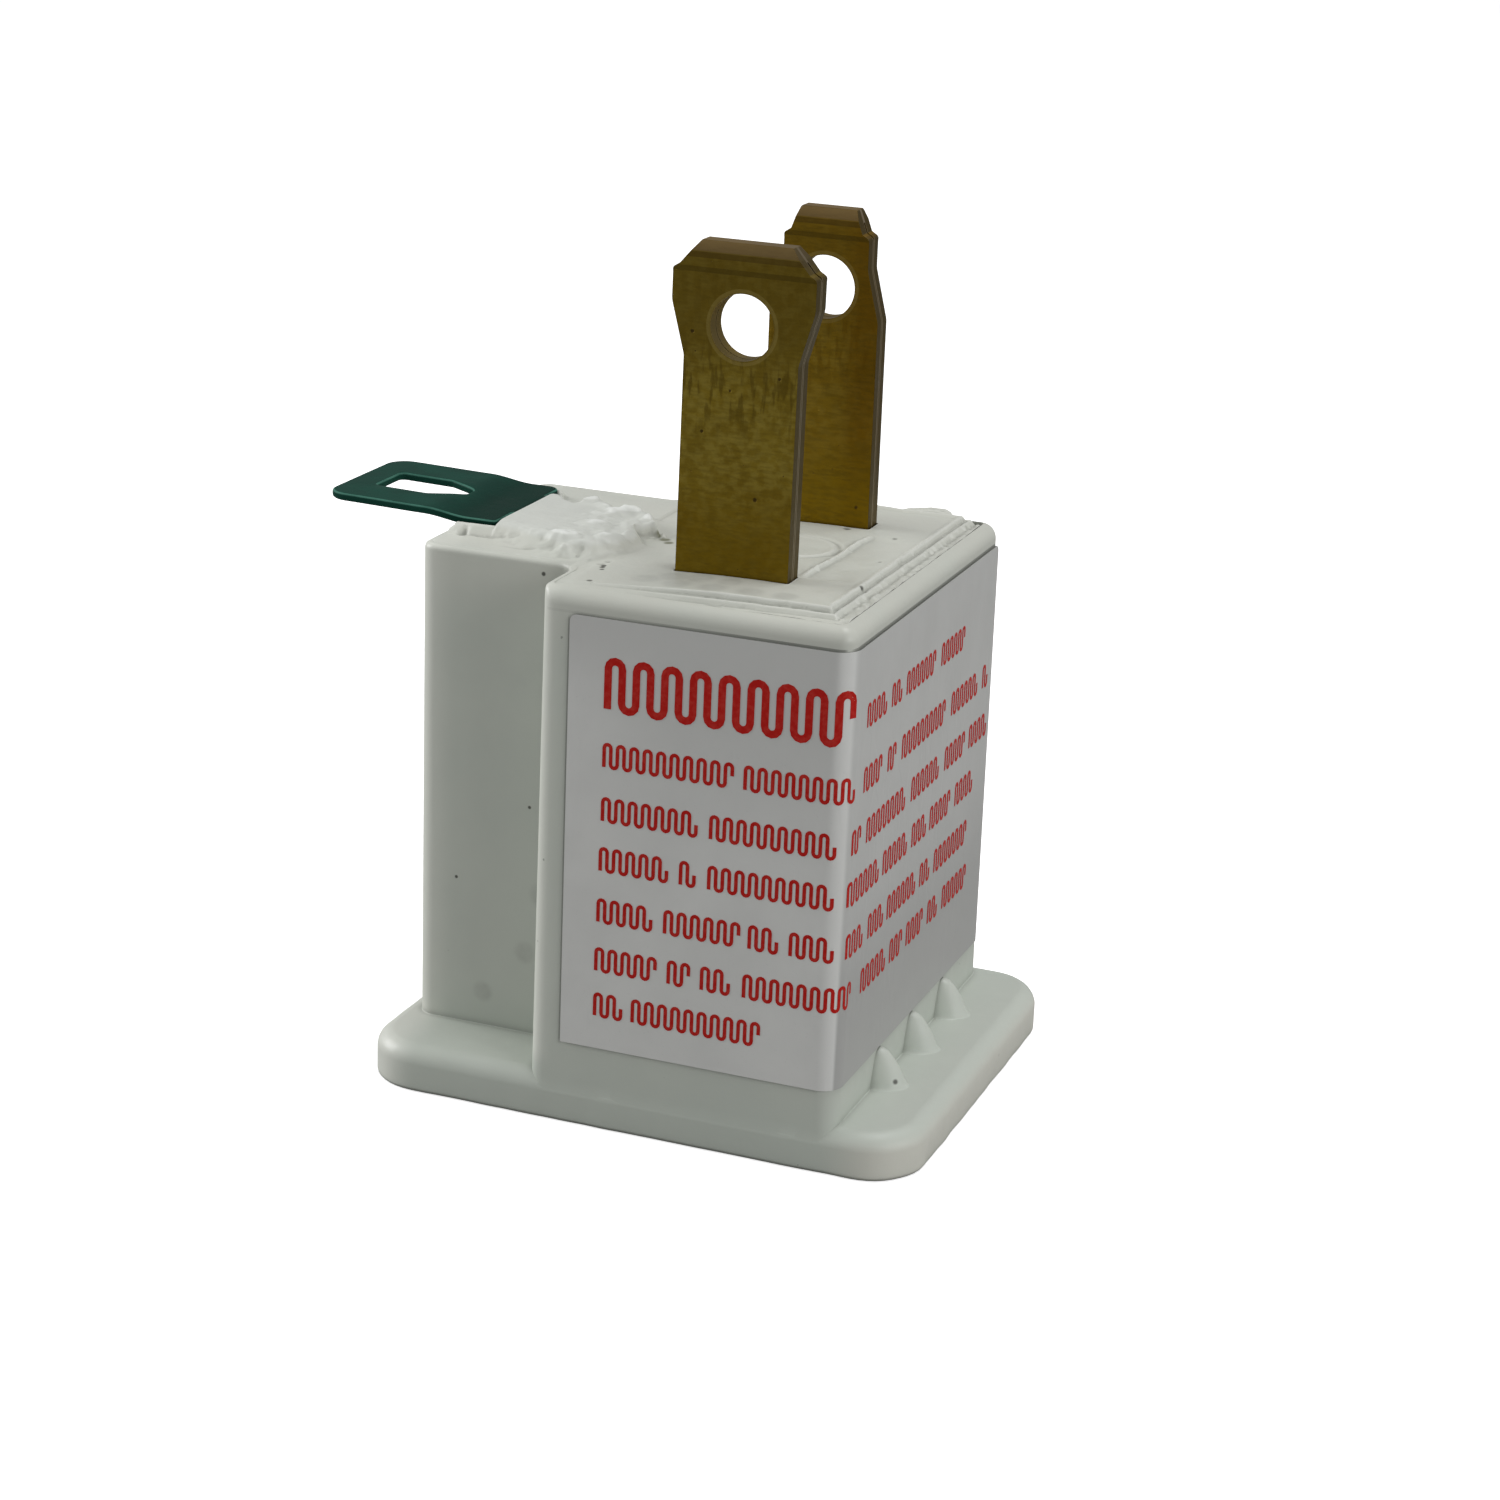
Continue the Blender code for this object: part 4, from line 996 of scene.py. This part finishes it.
def with_weld(height, x, y, grains, weld_height):
    """Height with the ragged weld: its spread over the plan, its level, and the lumps on it."""
    fine, small, broad = grains
    weld_back = np.interp(x, *zip(*WELD_BACK))
    weld = ramp(y - np.interp(x, *zip(*WELD_FRONT)) + 0.20 * small + 0.10 * fine, -1.1, 0.75)
    weld *= 1 - ramp(y - weld_back + 0.10 * fine + 0.12 * small, -0.10, 0.14)
    soft = ramp(-y, 1.6, 3.4)
    beyond = x - np.interp(y, *zip(*WELD_RIGHT)) + 0.16 * fine + 0.26 * small
    weld *= 1 - ramp(beyond, -0.16 - 0.9 * soft, 0.22 + 0.5 * soft)
    weld *= ramp(x + 14.86, 0, 0.1)
    rough = ramp(x, -12.2, -10.4)
    level = weld_height + 0.015 * broad + (0.09 * small + 0.05 * fine) * rough - 0.10 * ramp(x, -10.5, -7.5)
    level += 0.20 * bell(y - weld_back + 0.6, 0.45) * rough
    for lump_x, lump_y, wide, deep, rise in WELD_LUMPS:
        apart = np.hypot((x - lump_x) / wide, (y - lump_y) / deep) + 0.30 * small + 0.12 * fine
        level += rise * ramp(apart, 1.25, 0.75)
    return height + (level - height) * weld + (0.12 * fine + 0.22 * small) * weld * (1 - weld) * rough


def top_height(x, y, top, tab):
    """Height of the welded top over arrays of places."""
    grains = [lumps(x, y, pitch, seed) for pitch, seed in ((0.32, 1), (0.9, 2), (3.5, 3))]
    height = field_top(x, y, grains, top.field_height / MM)
    height += sunk_panel(x, y, grains) + back_flash(x, y, grains)
    height = with_neck(height, x, y, grains, top.pad_height / MM)
    height = with_weld(height, x, y, grains, top.weld_height / MM)
    under_tab = tab.bottom / MM + tab_lift(tab, x) - 0.04
    bed = (x < -14.86) & (abs(y) < 4.46)
    height = np.where(bed, np.minimum(height + 0.3, under_tab), height)
    for pit_x, pit_y, wide, drop in TOP_PITS:
        height -= drop * bell(np.hypot(x - pit_x, y - pit_y) / wide, 1)
    return height + 0.004 * grains[0]


def graded(start, end, pitch, fine_start, fine_end):
    """Places from start to end, twice as close over the fine stretch."""
    spans = ((start, fine_start, pitch), (fine_start, fine_end, pitch / 2), (fine_end, end, pitch))
    return np.concatenate([np.arange(*span) for span in spans] + [[end]])


def height_field(name, size, top):
    """Closed solid whose upper side is the welded top."""
    pitch = top.mesh_pitch
    xs = graded(size.neck_end, size.block_right, pitch, 6.2 * MM, 8.4 * MM)
    ys = graded(-size.half_depth, size.half_depth, pitch, -11.9 * MM, -10.3 * MM)
    x, y = np.meshgrid(xs, ys, indexing="ij")
    z = top_height(x / MM, y / MM, top, bpy.context.scene.adapter_tab) * MM
    points = np.stack([x.ravel(), y.ravel(), z.ravel()], axis=1)
    number = np.arange(x.size).reshape(x.shape)
    corners = [number[:-1, :-1], number[1:, :-1], number[1:, 1:], number[:-1, 1:]]
    faces = np.stack(corners, axis=-1).reshape(-1, 4)
    edge = np.concatenate([number[:-1, 0], number[-1, :-1], number[:0:-1, -1], number[0, :0:-1]])
    floor = points[edge].copy()
    floor[:, 2] = top.bottom - MM
    below = len(points) + np.arange(len(edge))
    walls = np.stack([np.roll(edge, -1), edge, below, np.roll(below, -1)], axis=1)
    mesh = bpy.data.meshes.new(name)
    mesh.from_pydata(
        np.concatenate([points, floor]).tolist(), [], faces.tolist() + walls.tolist() + [below[::-1].tolist()]
    )
    mesh.validate()
    return mesh


def top_edge_point(point):
    """Point of the top's edge, drawn in where the seam gapes and at the gouged back corner."""
    shift = Vector((0, 0))
    if point.x > 7 * MM:
        shift.x = -0.05 * MM
    if point.y < 0:
        shift.y = 0.05 * MM if point.x > 7 * MM else 0.06 * MM if point.x > 0 else 0
    elif point.x > 6.2 * MM and point.y > 11.2 * MM:
        shift.y = -0.30 * MM
    return point + shift


def build_top(size, top, material):
    """Welded top, cut to its outline and opened for the blades and the rivet."""
    piece = new_object("welded_top", height_field("welded_top", size, top))
    seam = size.seam_inset
    step = size.rim_height - SEAT_DEPTH + TOP_OVERLAP
    outline = body_outline(size, seam, SEAT_NECK_INSET - TOP_OVERLAP, seam, SEAT_LEFT_INSET - TOP_OVERLAP)
    edge = [top_edge_point(point) for point in strayed(divided(outline, 44), *TOP_STRAY)]
    inner = divided(body_outline(size, *[RIM_WALL + CUT_ROOM] * 4), 44)
    cut = skin([(inner, top.bottom), (inner, step - 0.01 * MM), (edge, step), (edge, TOP_CLEAR)])
    combine(piece, cut, "INTERSECT")
    blades = bpy.context.scene.adapter_blades
    half_width = blades.width / 2 + CUT_ROOM
    half_depth = blades.sheet + blades.seam / 2 + CUT_ROOM
    for middle in (-blades.spacing / 2, blades.spacing / 2):
        slot = box_outline(-half_width, half_width, middle - half_depth, middle + half_depth, 0.2 * MM)
        combine(piece, prism(slot, top.bottom - MM, TOP_CLEAR), "DIFFERENCE")
    tab = bpy.context.scene.adapter_tab
    bore = circle(tab.rivet_x, 0, RIVET_SHANK + 4 * CUT_ROOM)
    combine(piece, prism(bore, top.bottom - MM, tab.bottom - CUT_ROOM), "DIFFERENCE")
    bake(piece)
    finished(piece, 62, material)
    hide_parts("cover")


# Blades

LEAF_MOUTH = 1.45 * MM
LEAF_GRIP = 0.55 * MM
LEAF_SPRING = 1.75 * MM
LEAF_HALF = 2.8 * MM
EAR_HALF = 4.7 * MM
EAR_HEIGHT = 1.8 * MM
CONTACT_BOTTOM = 3.6 * MM
HEAD_START = 41.95 * MM
HEAD_FLARE = 2.8 * MM
SHOULDER = 46.45 * MM
CREASE_DROP = 1.5 * MM
HEAD_BULGE = 0.05 * MM
BLANK_DEPTH = 9 * MM

# Half widths of each head and its tip, and the slopes at which each blade leans along x and y
HEADS = {"neutral": (3.95 * MM, 2.45 * MM), "line": (2.475 * MM, 1.6 * MM)}
LEANS = {"neutral": (0.011, 0.0), "line": (-0.010, 0.026)}


def strip_line(size):
    """Folded strip as (offset, height): up one layer, round the tip and down the other."""
    layer = (size.sheet + size.seam) / 2
    grip = LEAF_GRIP + size.sheet / 2
    bulged = layer + HEAD_BULGE
    crease = size.tip - CREASE_DROP
    half = [
        (LEAF_MOUTH + size.sheet / 2, CONTACT_BOTTOM), (grip + 0.1 * MM, 6.5 * MM), (grip, 8.0 * MM),
        (grip, 9.0 * MM), (grip + 0.1 * MM, 10.5 * MM), (LEAF_SPRING, 15.5 * MM), (LEAF_SPRING, 23.3 * MM),
        (layer + 0.2 * MM, RIB_TOP), (layer, RIB_TOP + EAR_HEIGHT / 2), (layer, crease - 0.25 * MM),
        (bulged, crease), (bulged, size.tip - 0.68 * MM), (0.27 * MM, size.tip - size.sheet / 2),
    ]
    return half + [(-y, z) for y, z in reversed(half)]


def blade_front(size, head, tip):
    """Front outline of a blade: leaf, ears, shank and shouldered head."""
    body = size.width / 2
    ear_bottom = RIB_TOP + 0.2 * MM
    ear_top = RIB_TOP + EAR_HEIGHT
    break_round = 0.25 * MM
    right = [
        (LEAF_HALF, CONTACT_BOTTOM - 0.2 * MM, 0), (LEAF_HALF, ear_bottom, break_round),
        (EAR_HALF, ear_bottom, break_round / 2), (EAR_HALF, ear_top, break_round),
        (body, ear_top, break_round / 2), (body, HEAD_START, HEAD_FLARE / 3),
        (head, HEAD_START + HEAD_FLARE, HEAD_FLARE / 2), (head, SHOULDER, break_round),
        (head - 0.4 * MM, SHOULDER + break_round, break_round / 2), (tip, size.tip + 0.05 * MM, break_round),
    ]
    return rounded(right + [(-x, z, radius) for x, z, radius in reversed(right)], 8)


def build_blades(size, material, edge):
    """Both blades, each a folded strip cut to its front outline and leant as the real ones are."""
    for name, middle in (("neutral", -size.spacing / 2), ("line", size.spacing / 2)):
        half = EAR_HALF + MM
        line = [(-half, offset, height) for offset, height in strip_line(size)]
        blade = new_object(f"{name}_folded_blade", swept(f"{name}_folded_blade", line, (2 * half, 0, 0)))
        solidify(blade, size.sheet)
        outlines = [blade_front(size, *HEADS[name]), circle(0, size.hole_height, size.hole_diameter)]
        form = plate("blank", outlines, BLANK_DEPTH)
        bmesh.ops.transform(form, matrix=Matrix.Rotation(math.pi / 2, 4, "X"), verts=form.verts)
        combine(blade, form, "INTERSECT")
        bake(blade)
        lean_x, lean_y = LEANS[name]
        for vertex in blade.data.vertices:
            rise = max(vertex.co.z - size.base, 0)
            vertex.co += Vector((lean_x * rise, middle + lean_y * rise, 0))
        soften = blade.modifiers.new("edges", "BEVEL")
        soften.width = size.edge_round
        soften.material = 1
        soften.segments = 2
        soften.limit_method = "ANGLE"
        soften.angle_limit = math.radians(50)
        soften.use_clamp_overlap = True
        finished(blade, 35, material, edge)
        weighted(blade)
        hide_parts(f"{name}_blade")


# Tab and rivet

TONGUE_HALF = 2.1 * MM
TONGUE_END = -9.6 * MM
SLOT_OUTER = -23.7 * MM
SLOT_TAPER = -20.5 * MM
SLOT_INNER = -18.6 * MM
SLOT_HALF = 1.6 * MM
SLOT_INNER_HALF = 0.55 * MM
TAB_CUTS = 59
TAB_PITCH = 0.27 * MM
RIVET_SHANK = 2.1 * MM
RIVET_FOOT = 27.5 * MM


def tab_lift(tab, x):
    """How far the tab has jogged up at a place, in millimetres."""
    return tab.rise / MM * ramp(-16.7 - x, 0, 2.6)


def build_tab(size, material):
    """Enamelled tab with rounded edges, its slot, its jog and the tongue that goes under the weld."""
    half = size.half_width
    outline = rounded([
        (size.end, -half, 1.3 * MM), (size.root, -half, 0.3 * MM), (size.root, -TONGUE_HALF, 0.15 * MM),
        (TONGUE_END, -TONGUE_HALF, MM), (TONGUE_END, TONGUE_HALF, MM), (size.root, TONGUE_HALF, 0.15 * MM),
        (size.root, half, 0.75 * MM), (size.end, half, 1.3 * MM),
    ])
    slot = rounded([
        (SLOT_OUTER, -SLOT_HALF, 0.3 * MM), (SLOT_TAPER, -SLOT_HALF, 0.5 * MM),
        (SLOT_INNER, -SLOT_INNER_HALF, 0.5 * MM), (SLOT_INNER, SLOT_INNER_HALF, 0.5 * MM),
        (SLOT_TAPER, SLOT_HALF, 0.5 * MM), (SLOT_OUTER, SLOT_HALF, 0.3 * MM),
    ])
    bore = circle(size.rivet_x, 0, RIVET_SHANK + 0.3 * MM)
    form = plate("enamelled_tab", [outline, slot, bore], size.thickness, size.edge_round)
    for step in range(TAB_CUTS):
        place = (size.end + (step + 1) * TAB_PITCH, 0, 0)
        cut = [*form.verts, *form.edges, *form.faces]
        bmesh.ops.bisect_plane(form, geom=cut, dist=0.0001 * MM, plane_co=place, plane_no=(1, 0, 0))
    middle = size.bottom + size.thickness / 2
    for vertex in form.verts:
        x, _, z = vertex.co / MM
        bend = tab_lift(size, x) + 0.12 * ramp(-18.2 - x, 0, 7.3) - 0.16 * ramp(x, -14.9, -14.2)
        vertex.co.z = (z + float(bend)) * MM + middle
    tab = new_object("enamelled_tab", mesh_of(form, "enamelled_tab"))
    finished(tab, 50, material)
    weighted(tab)
    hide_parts("ground_tab")


def build_rivet(size, material):
    """Turned rivet whose flat head lies under the weld."""
    top = size.bottom + size.thickness - 0.14 * MM
    shank = RIVET_SHANK / 2
    profile = [
        (0, top + 0.08 * MM), (1.0 * MM, top + 0.07 * MM), (1.5 * MM, top + 0.04 * MM), (1.7 * MM, top),
        (shank, top), (shank, RIVET_FOOT), (1.6 * MM, RIVET_FOOT), (1.68 * MM, RIVET_FOOT - 0.04 * MM),
        (1.6 * MM, RIVET_FOOT - 0.10 * MM), (1.2 * MM, RIVET_FOOT - 0.14 * MM),
        (0.6 * MM, RIVET_FOOT - 0.16 * MM), (0, RIVET_FOOT - 0.17 * MM),
    ]
    form = bmesh.new()
    verts = [form.verts.new((x, 0, z)) for x, z in profile]
    for pair in zip(verts, verts[1:]):
        form.edges.new(pair)
    rivet = new_object("turned_rivet", mesh_of(form, "turned_rivet"))
    turn = rivet.modifiers.new("turned", "SCREW")
    turn.steps = turn.render_steps = 48
    turn.use_merge_vertices = True
    turn.merge_threshold = 2 * MERGE_DISTANCE
    bake(rivet)
    with edited(rivet.data) as form:
        bmesh.ops.translate(form, vec=(size.rivet_x, 0, 0), verts=form.verts)
        bmesh.ops.recalc_face_normals(form, faces=form.faces)
    finished(rivet, 35, material)
    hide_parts("ground_rivet")


# Label

FILM_GAP = 0.02 * MM
FILM_DATUM = 0.3 * MM
FILM_COLUMNS = 260
FILM_LEVELS = 25
INK = 0.012 * MM


def film_place(shell, size, along, height, lift):
    """Point over the walls, from the distance along the film, the height and the lift off the wall."""
    drawn_in = math.tan(shell.draft) * (height - shell.flange_thickness - FILM_DATUM) - lift
    radius = shell.block_round + lift
    front = drawn_in - shell.half_depth
    side = shell.block_right - drawn_in
    flat = side - radius - size.left
    if along < flat:
        return Vector((size.left + along, front, height))
    bend = radius * math.pi / 2
    if along < flat + bend:
        angle = (along - flat) / radius
        return Vector((
            side - radius + radius * math.sin(angle), front + radius - radius * math.cos(angle), height
        ))
    return Vector((side, front + radius + along - flat - bend, height))


def build_film(shell, size, film, edge):
    """Label film with rounded upper corners and cut edges coloured dark as painted shade."""
    trial = 40 * MM
    total = trial - (film_place(shell, size, trial, size.bottom, FILM_GAP).y - size.back)
    ends = [across for across, _ in quarter(size.corner, 8)]
    inner = np.linspace(size.corner, total - size.corner, FILM_COLUMNS)[1:-1]
    places = ends + list(inner) + [total - across for across in reversed(ends)]
    drops = [size.corner - up for _, up in quarter(size.corner, 8)]
    trims = drops + [0.0] * len(inner) + drops[::-1]
    form = bmesh.new()
    columns = []
    for along, trim in zip(places, trims):
        levels = np.linspace(size.bottom, size.top - trim, FILM_LEVELS)
        lift = FILM_GAP + size.film / 2
        columns.append([form.verts.new(film_place(shell, size, along, level, lift)) for level in levels])
    for first, second in zip(columns, columns[1:]):
        for index in range(len(first) - 1):
            form.faces.new((first[index], second[index], second[index + 1], first[index + 1]))
    piece = new_object("label_film", mesh_of(form, "label_film"))
    piece.data.materials.append(film)
    piece.data.materials.append(edge)
    solidify(piece, size.film).material_offset_rim = 1
    bake(piece)
    finished(piece, 40)
    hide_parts("label")


# Rows of waves as (height, scale, words), with each word as (start, length), in millimetres
WAVE_ROWS = (
    (24.0, 2.1, ((2.05, 13.6),)),
    (24.3, 0.95, ((17.7, 3.0), (21.6, 1.6), (24.0, 4.9), (29.9, 4.2))),
    (20.8, 1.0, (
        (2.05, 7.3), (10.0, 6.4), (17.6, 3.0), (21.4, 1.5), (23.7, 7.6), (32.2, 4.8), (37.9, 1.1),
    )),
    (17.8, 1.0, (
        (2.05, 5.6), (8.2, 7.0), (16.2, 1.3), (18.4, 6.3), (25.7, 4.9), (31.5, 3.6), (35.9, 3.4),
    )),
    (15.0, 1.0, (
        (2.0, 3.9), (6.6, 1.0), (8.2, 7.0), (16.0, 4.6), (21.4, 4.0), (26.2, 2.3), (29.3, 3.7), (33.8, 3.2),
    )),
    (12.1, 1.0, (
        (1.95, 3.3), (5.8, 4.4), (10.6, 1.8), (12.9, 2.6), (16.1, 2.6), (19.4, 2.4), (22.5, 4.8), (28.0, 1.7),
        (30.5, 6.0),
    )),
    (9.3, 1.0, (
        (1.9, 3.7), (6.1, 1.3), (8.0, 1.7), (10.4, 6.6), (18.6, 4.0), (23.3, 2.1), (26.1, 3.0), (29.8, 1.9),
        (32.4, 4.4),
    )),
    (6.7, 1.0, ((1.9, 1.6), (4.1, 7.6))),
)


def wave(start, reach, foot, height, turn):
    """Line that runs up and down between two heights with round turns."""
    line = [Vector((start, foot))]
    for step in range(max(round(reach / (2 * turn)), 1)):
        way = 1 if step % 2 == 0 else -1
        level = foot + turn if way < 0 else foot + height - turn
        middle = start + (2 * step + 1) * turn
        for angle in (math.pi * part / 6 for part in range(7)):
            line.append(Vector((middle - turn * math.cos(angle), level + way * turn * math.sin(angle))))
    return line + [Vector((line[-1].x, foot + height / 2))]


def build_waves(shell, size, material):
    """Rows of plain wavy lines printed on the film, grouped as words are."""
    form = bmesh.new()
    lift = FILM_GAP + size.film + INK
    for foot, scale, words in WAVE_ROWS:
        half = size.wave_width * scale / 2
        for start, reach in words:
            height = size.wave_height * scale
            line = wave(start * MM + half, reach * MM - 2 * half, foot * MM, height, size.wave_turn * scale)
            pairs = []
            for before, point, after in zip(line[:1] + line[:-1], line, line[1:] + line[-1:]):
                along = (after - before).normalized()
                side = Vector((-along.y, along.x)) * half
                edges = (film_place(shell, size, *(point + way * side), lift) for way in (-1, 1))
                pairs.append([form.verts.new(edge) for edge in edges])
            for first, second in zip(pairs, pairs[1:]):
                form.faces.new((first[0], second[0], second[1], first[1]))
    piece = new_object("printed_waves", mesh_of(form, "printed_waves"))
    solidify(piece, INK)
    bake(piece)
    finished(piece, 40, material)


# Stage

CAMERA_PLACE = (
    (0.93088, -0.14774, 0.33412, 0.060634), (0.36347, 0.28250, -0.88774, -0.164293),
    (0.03676, 0.94782, 0.31668, 0.077103), (0, 0, 0, 1),
)
LAMPS = {
    "key": ((0.09, 0.05, 0.43), 0.22), "side": ((-0.40, -0.03, 0.17), 0.24),
    "fill": ((0.36, -0.19, 0.18), 0.16), "right": ((0.42, -0.04, 0.13), 0.14),
}
LAMP_AIM = Vector((0, 0, 15 * MM))
FLOOR_HALF = 1.5
FLOOR_DROP = 0.02 * MM


def set_camera(lens):
    """Camera at the photographed angle."""
    camera = bpy.data.cameras.new("camera")
    camera.lens = lens
    camera.sensor_width = 36
    camera.clip_start = MM
    viewer = new_object("camera", camera)
    viewer.matrix_world = Matrix(CAMERA_PLACE)
    bpy.context.scene.camera = viewer
    bpy.context.scene.view_settings.view_transform = "Standard"


def set_lamp(name, place, size, watts):
    """Soft square lamp that points at the adapter."""
    light = bpy.data.lights.new(name, "AREA")
    light.shape = "SQUARE"
    light.size = size
    light.energy = watts
    lamp = new_object(name, light)
    lamp.location = place
    lamp.rotation_euler = (LAMP_AIM - Vector(place)).to_track_quat("-Z", "Y").to_euler()


def set_sky(strength):
    """Even white light round the adapter, seen by the camera as plain white."""
    world = bpy.data.worlds.new("studio")
    bpy.context.scene.world = world
    world.use_nodes = True
    sky = Nodes(world.node_tree)
    path = sky.add("ShaderNodeLightPath").outputs
    seen = sky.number("MAXIMUM", path["Is Camera Ray"], path["Is Transmission Ray"])
    background = world.node_tree.nodes["Background"].inputs
    sky.join((1.0, 1.0, 1.0), background["Color"])
    sky.join(sky.fade(seen, 0.0, 1.0, low=strength), background["Strength"])


def lay_floor():
    """Floor of pale paper that keeps the shadow, and that lights the adapter as a grey one would."""
    form = bmesh.new()
    bmesh.ops.create_grid(form, x_segments=24, y_segments=24, size=FLOOR_HALF)
    floor = new_object("floor", mesh_of(form, "floor"))
    paint = Paint("floor_paper", (0.36, 0.36, 0.35))
    seen = paint.add("ShaderNodeLightPath").outputs["Is Camera Ray"]
    paper = paint.mix(paint.fade(paint.noise(0.3), 0.3, 0.7), (0.90, 0.90, 0.90), (0.88, 0.88, 0.88))
    paint.over(paper, seen)
    floor.data.materials.append(paint.finish({
        "Roughness": 1.0, "Specular IOR Level": 0.0, "Emission Color": (1.0, 1.0, 1.0),
        "Emission Strength": paint.times(seen, 0.68),
    }))
    floor.location.z = -FLOOR_DROP


def build_stage(stage):
    """Camera, lamps, sky and floor."""
    set_camera(stage.lens)
    for name, (place, size) in LAMPS.items():
        set_lamp(f"{name}_lamp", place, size, getattr(stage, name))
    set_sky(stage.sky)
    lay_floor()


# Add-on


class ADAPTER_OT_shell(bpy.types.Operator):
    """Make the moulded shell"""

    bl_idname = "adapter.shell"
    bl_label = "Moulded shell"

    def execute(self, context):
        scene = context.scene
        build_shell(scene.adapter_shell, plastic_material("moulded_plastic", scene.adapter_finishes, 0.30))
        return {"FINISHED"}


class ADAPTER_OT_top(bpy.types.Operator):
    """Make the welded top"""

    bl_idname = "adapter.top"
    bl_label = "Welded top"

    def execute(self, context):
        scene = context.scene
        material = plastic_material("welded_plastic", scene.adapter_finishes, 0.85, 0.36)
        build_top(scene.adapter_shell, scene.adapter_top, material)
        return {"FINISHED"}


class ADAPTER_OT_blades(bpy.types.Operator):
    """Make both folded blades"""

    bl_idname = "adapter.blades"
    bl_label = "Folded blades"

    def execute(self, context):
        scene = context.scene
        size = scene.adapter_blades
        faces = brass_material("tarnished_brass_sheet", scene.adapter_finishes, size)
        edges = brass_material("tarnished_brass_edge", scene.adapter_finishes, size, 0.88)
        build_blades(size, faces, edges)
        return {"FINISHED"}


class ADAPTER_OT_ground(bpy.types.Operator):
    """Make the tab and its rivet, and finish the ground contact"""

    bl_idname = "adapter.ground"
    bl_label = "Tab, rivet and contact"

    def execute(self, context):
        scene = context.scene
        finishes = scene.adapter_finishes
        build_tab(scene.adapter_tab, enamel_material("green_enamel", finishes))
        build_rivet(scene.adapter_tab, steel_material("plated_steel", finishes))
        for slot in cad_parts["ground_contact"].material_slots:
            slot.material = clean_brass_material("sprung_brass", finishes)
        return {"FINISHED"}


class ADAPTER_OT_label(bpy.types.Operator):
    """Make the label film and its printed waves"""

    bl_idname = "adapter.label"
    bl_label = "Label"

    def execute(self, context):
        scene = context.scene
        finishes = scene.adapter_finishes
        film = film_material("label_film", finishes.film)
        # Painted shade: the film's cut edges in a dark copy of the film
        edge = film_material("label_edge", finishes.film_edge_shade)
        build_film(scene.adapter_shell, scene.adapter_label, film, edge)
        build_waves(scene.adapter_shell, scene.adapter_label, ink_material("red_ink", finishes))
        return {"FINISHED"}


class ADAPTER_OT_stage(bpy.types.Operator):
    """Set the camera, the lamps and the floor"""

    bl_idname = "adapter.stage"
    bl_label = "Stage"

    def execute(self, context):
        build_stage(context.scene.adapter_stage)
        return {"FINISHED"}


OPERATORS = (
    ADAPTER_OT_shell, ADAPTER_OT_top, ADAPTER_OT_blades,
    ADAPTER_OT_ground, ADAPTER_OT_label, ADAPTER_OT_stage,
)
GROUPS = {
    "adapter_shell": ShellSizes, "adapter_top": TopSizes, "adapter_blades": BladeSizes,
    "adapter_tab": TabSizes, "adapter_label": LabelSizes, "adapter_finishes": Finishes,
    "adapter_stage": StageSizes,
}


class ADAPTER_PT_panel(bpy.types.Panel):
    """Sizes, colours and the pieces of the adapter"""

    bl_label = "Plug adapter"
    bl_idname = "ADAPTER_PT_panel"
    bl_space_type = "VIEW_3D"
    bl_region_type = "UI"
    bl_category = "Adapter"

    def draw(self, context):
        for operator in OPERATORS:
            self.layout.operator(operator.bl_idname)
        for name, group in GROUPS.items():
            box = self.layout.box()
            box.label(text=group.__doc__)
            for key in group.__annotations__:
                box.prop(getattr(context.scene, name), key)


def register():
    for item in (*GROUPS.values(), *OPERATORS, ADAPTER_PT_panel):
        bpy.utils.register_class(item)
    for name, group in GROUPS.items():
        setattr(bpy.types.Scene, name, bpy.props.PointerProperty(type=group))


def unregister():
    for name in GROUPS:
        delattr(bpy.types.Scene, name)
    for item in reversed((*GROUPS.values(), *OPERATORS, ADAPTER_PT_panel)):
        bpy.utils.unregister_class(item)


def main():
    register()
    for operator in OPERATORS:
        family, name = operator.bl_idname.split(".")
        getattr(getattr(bpy.ops, family), name)()


if __name__ == "__main__":
    main()
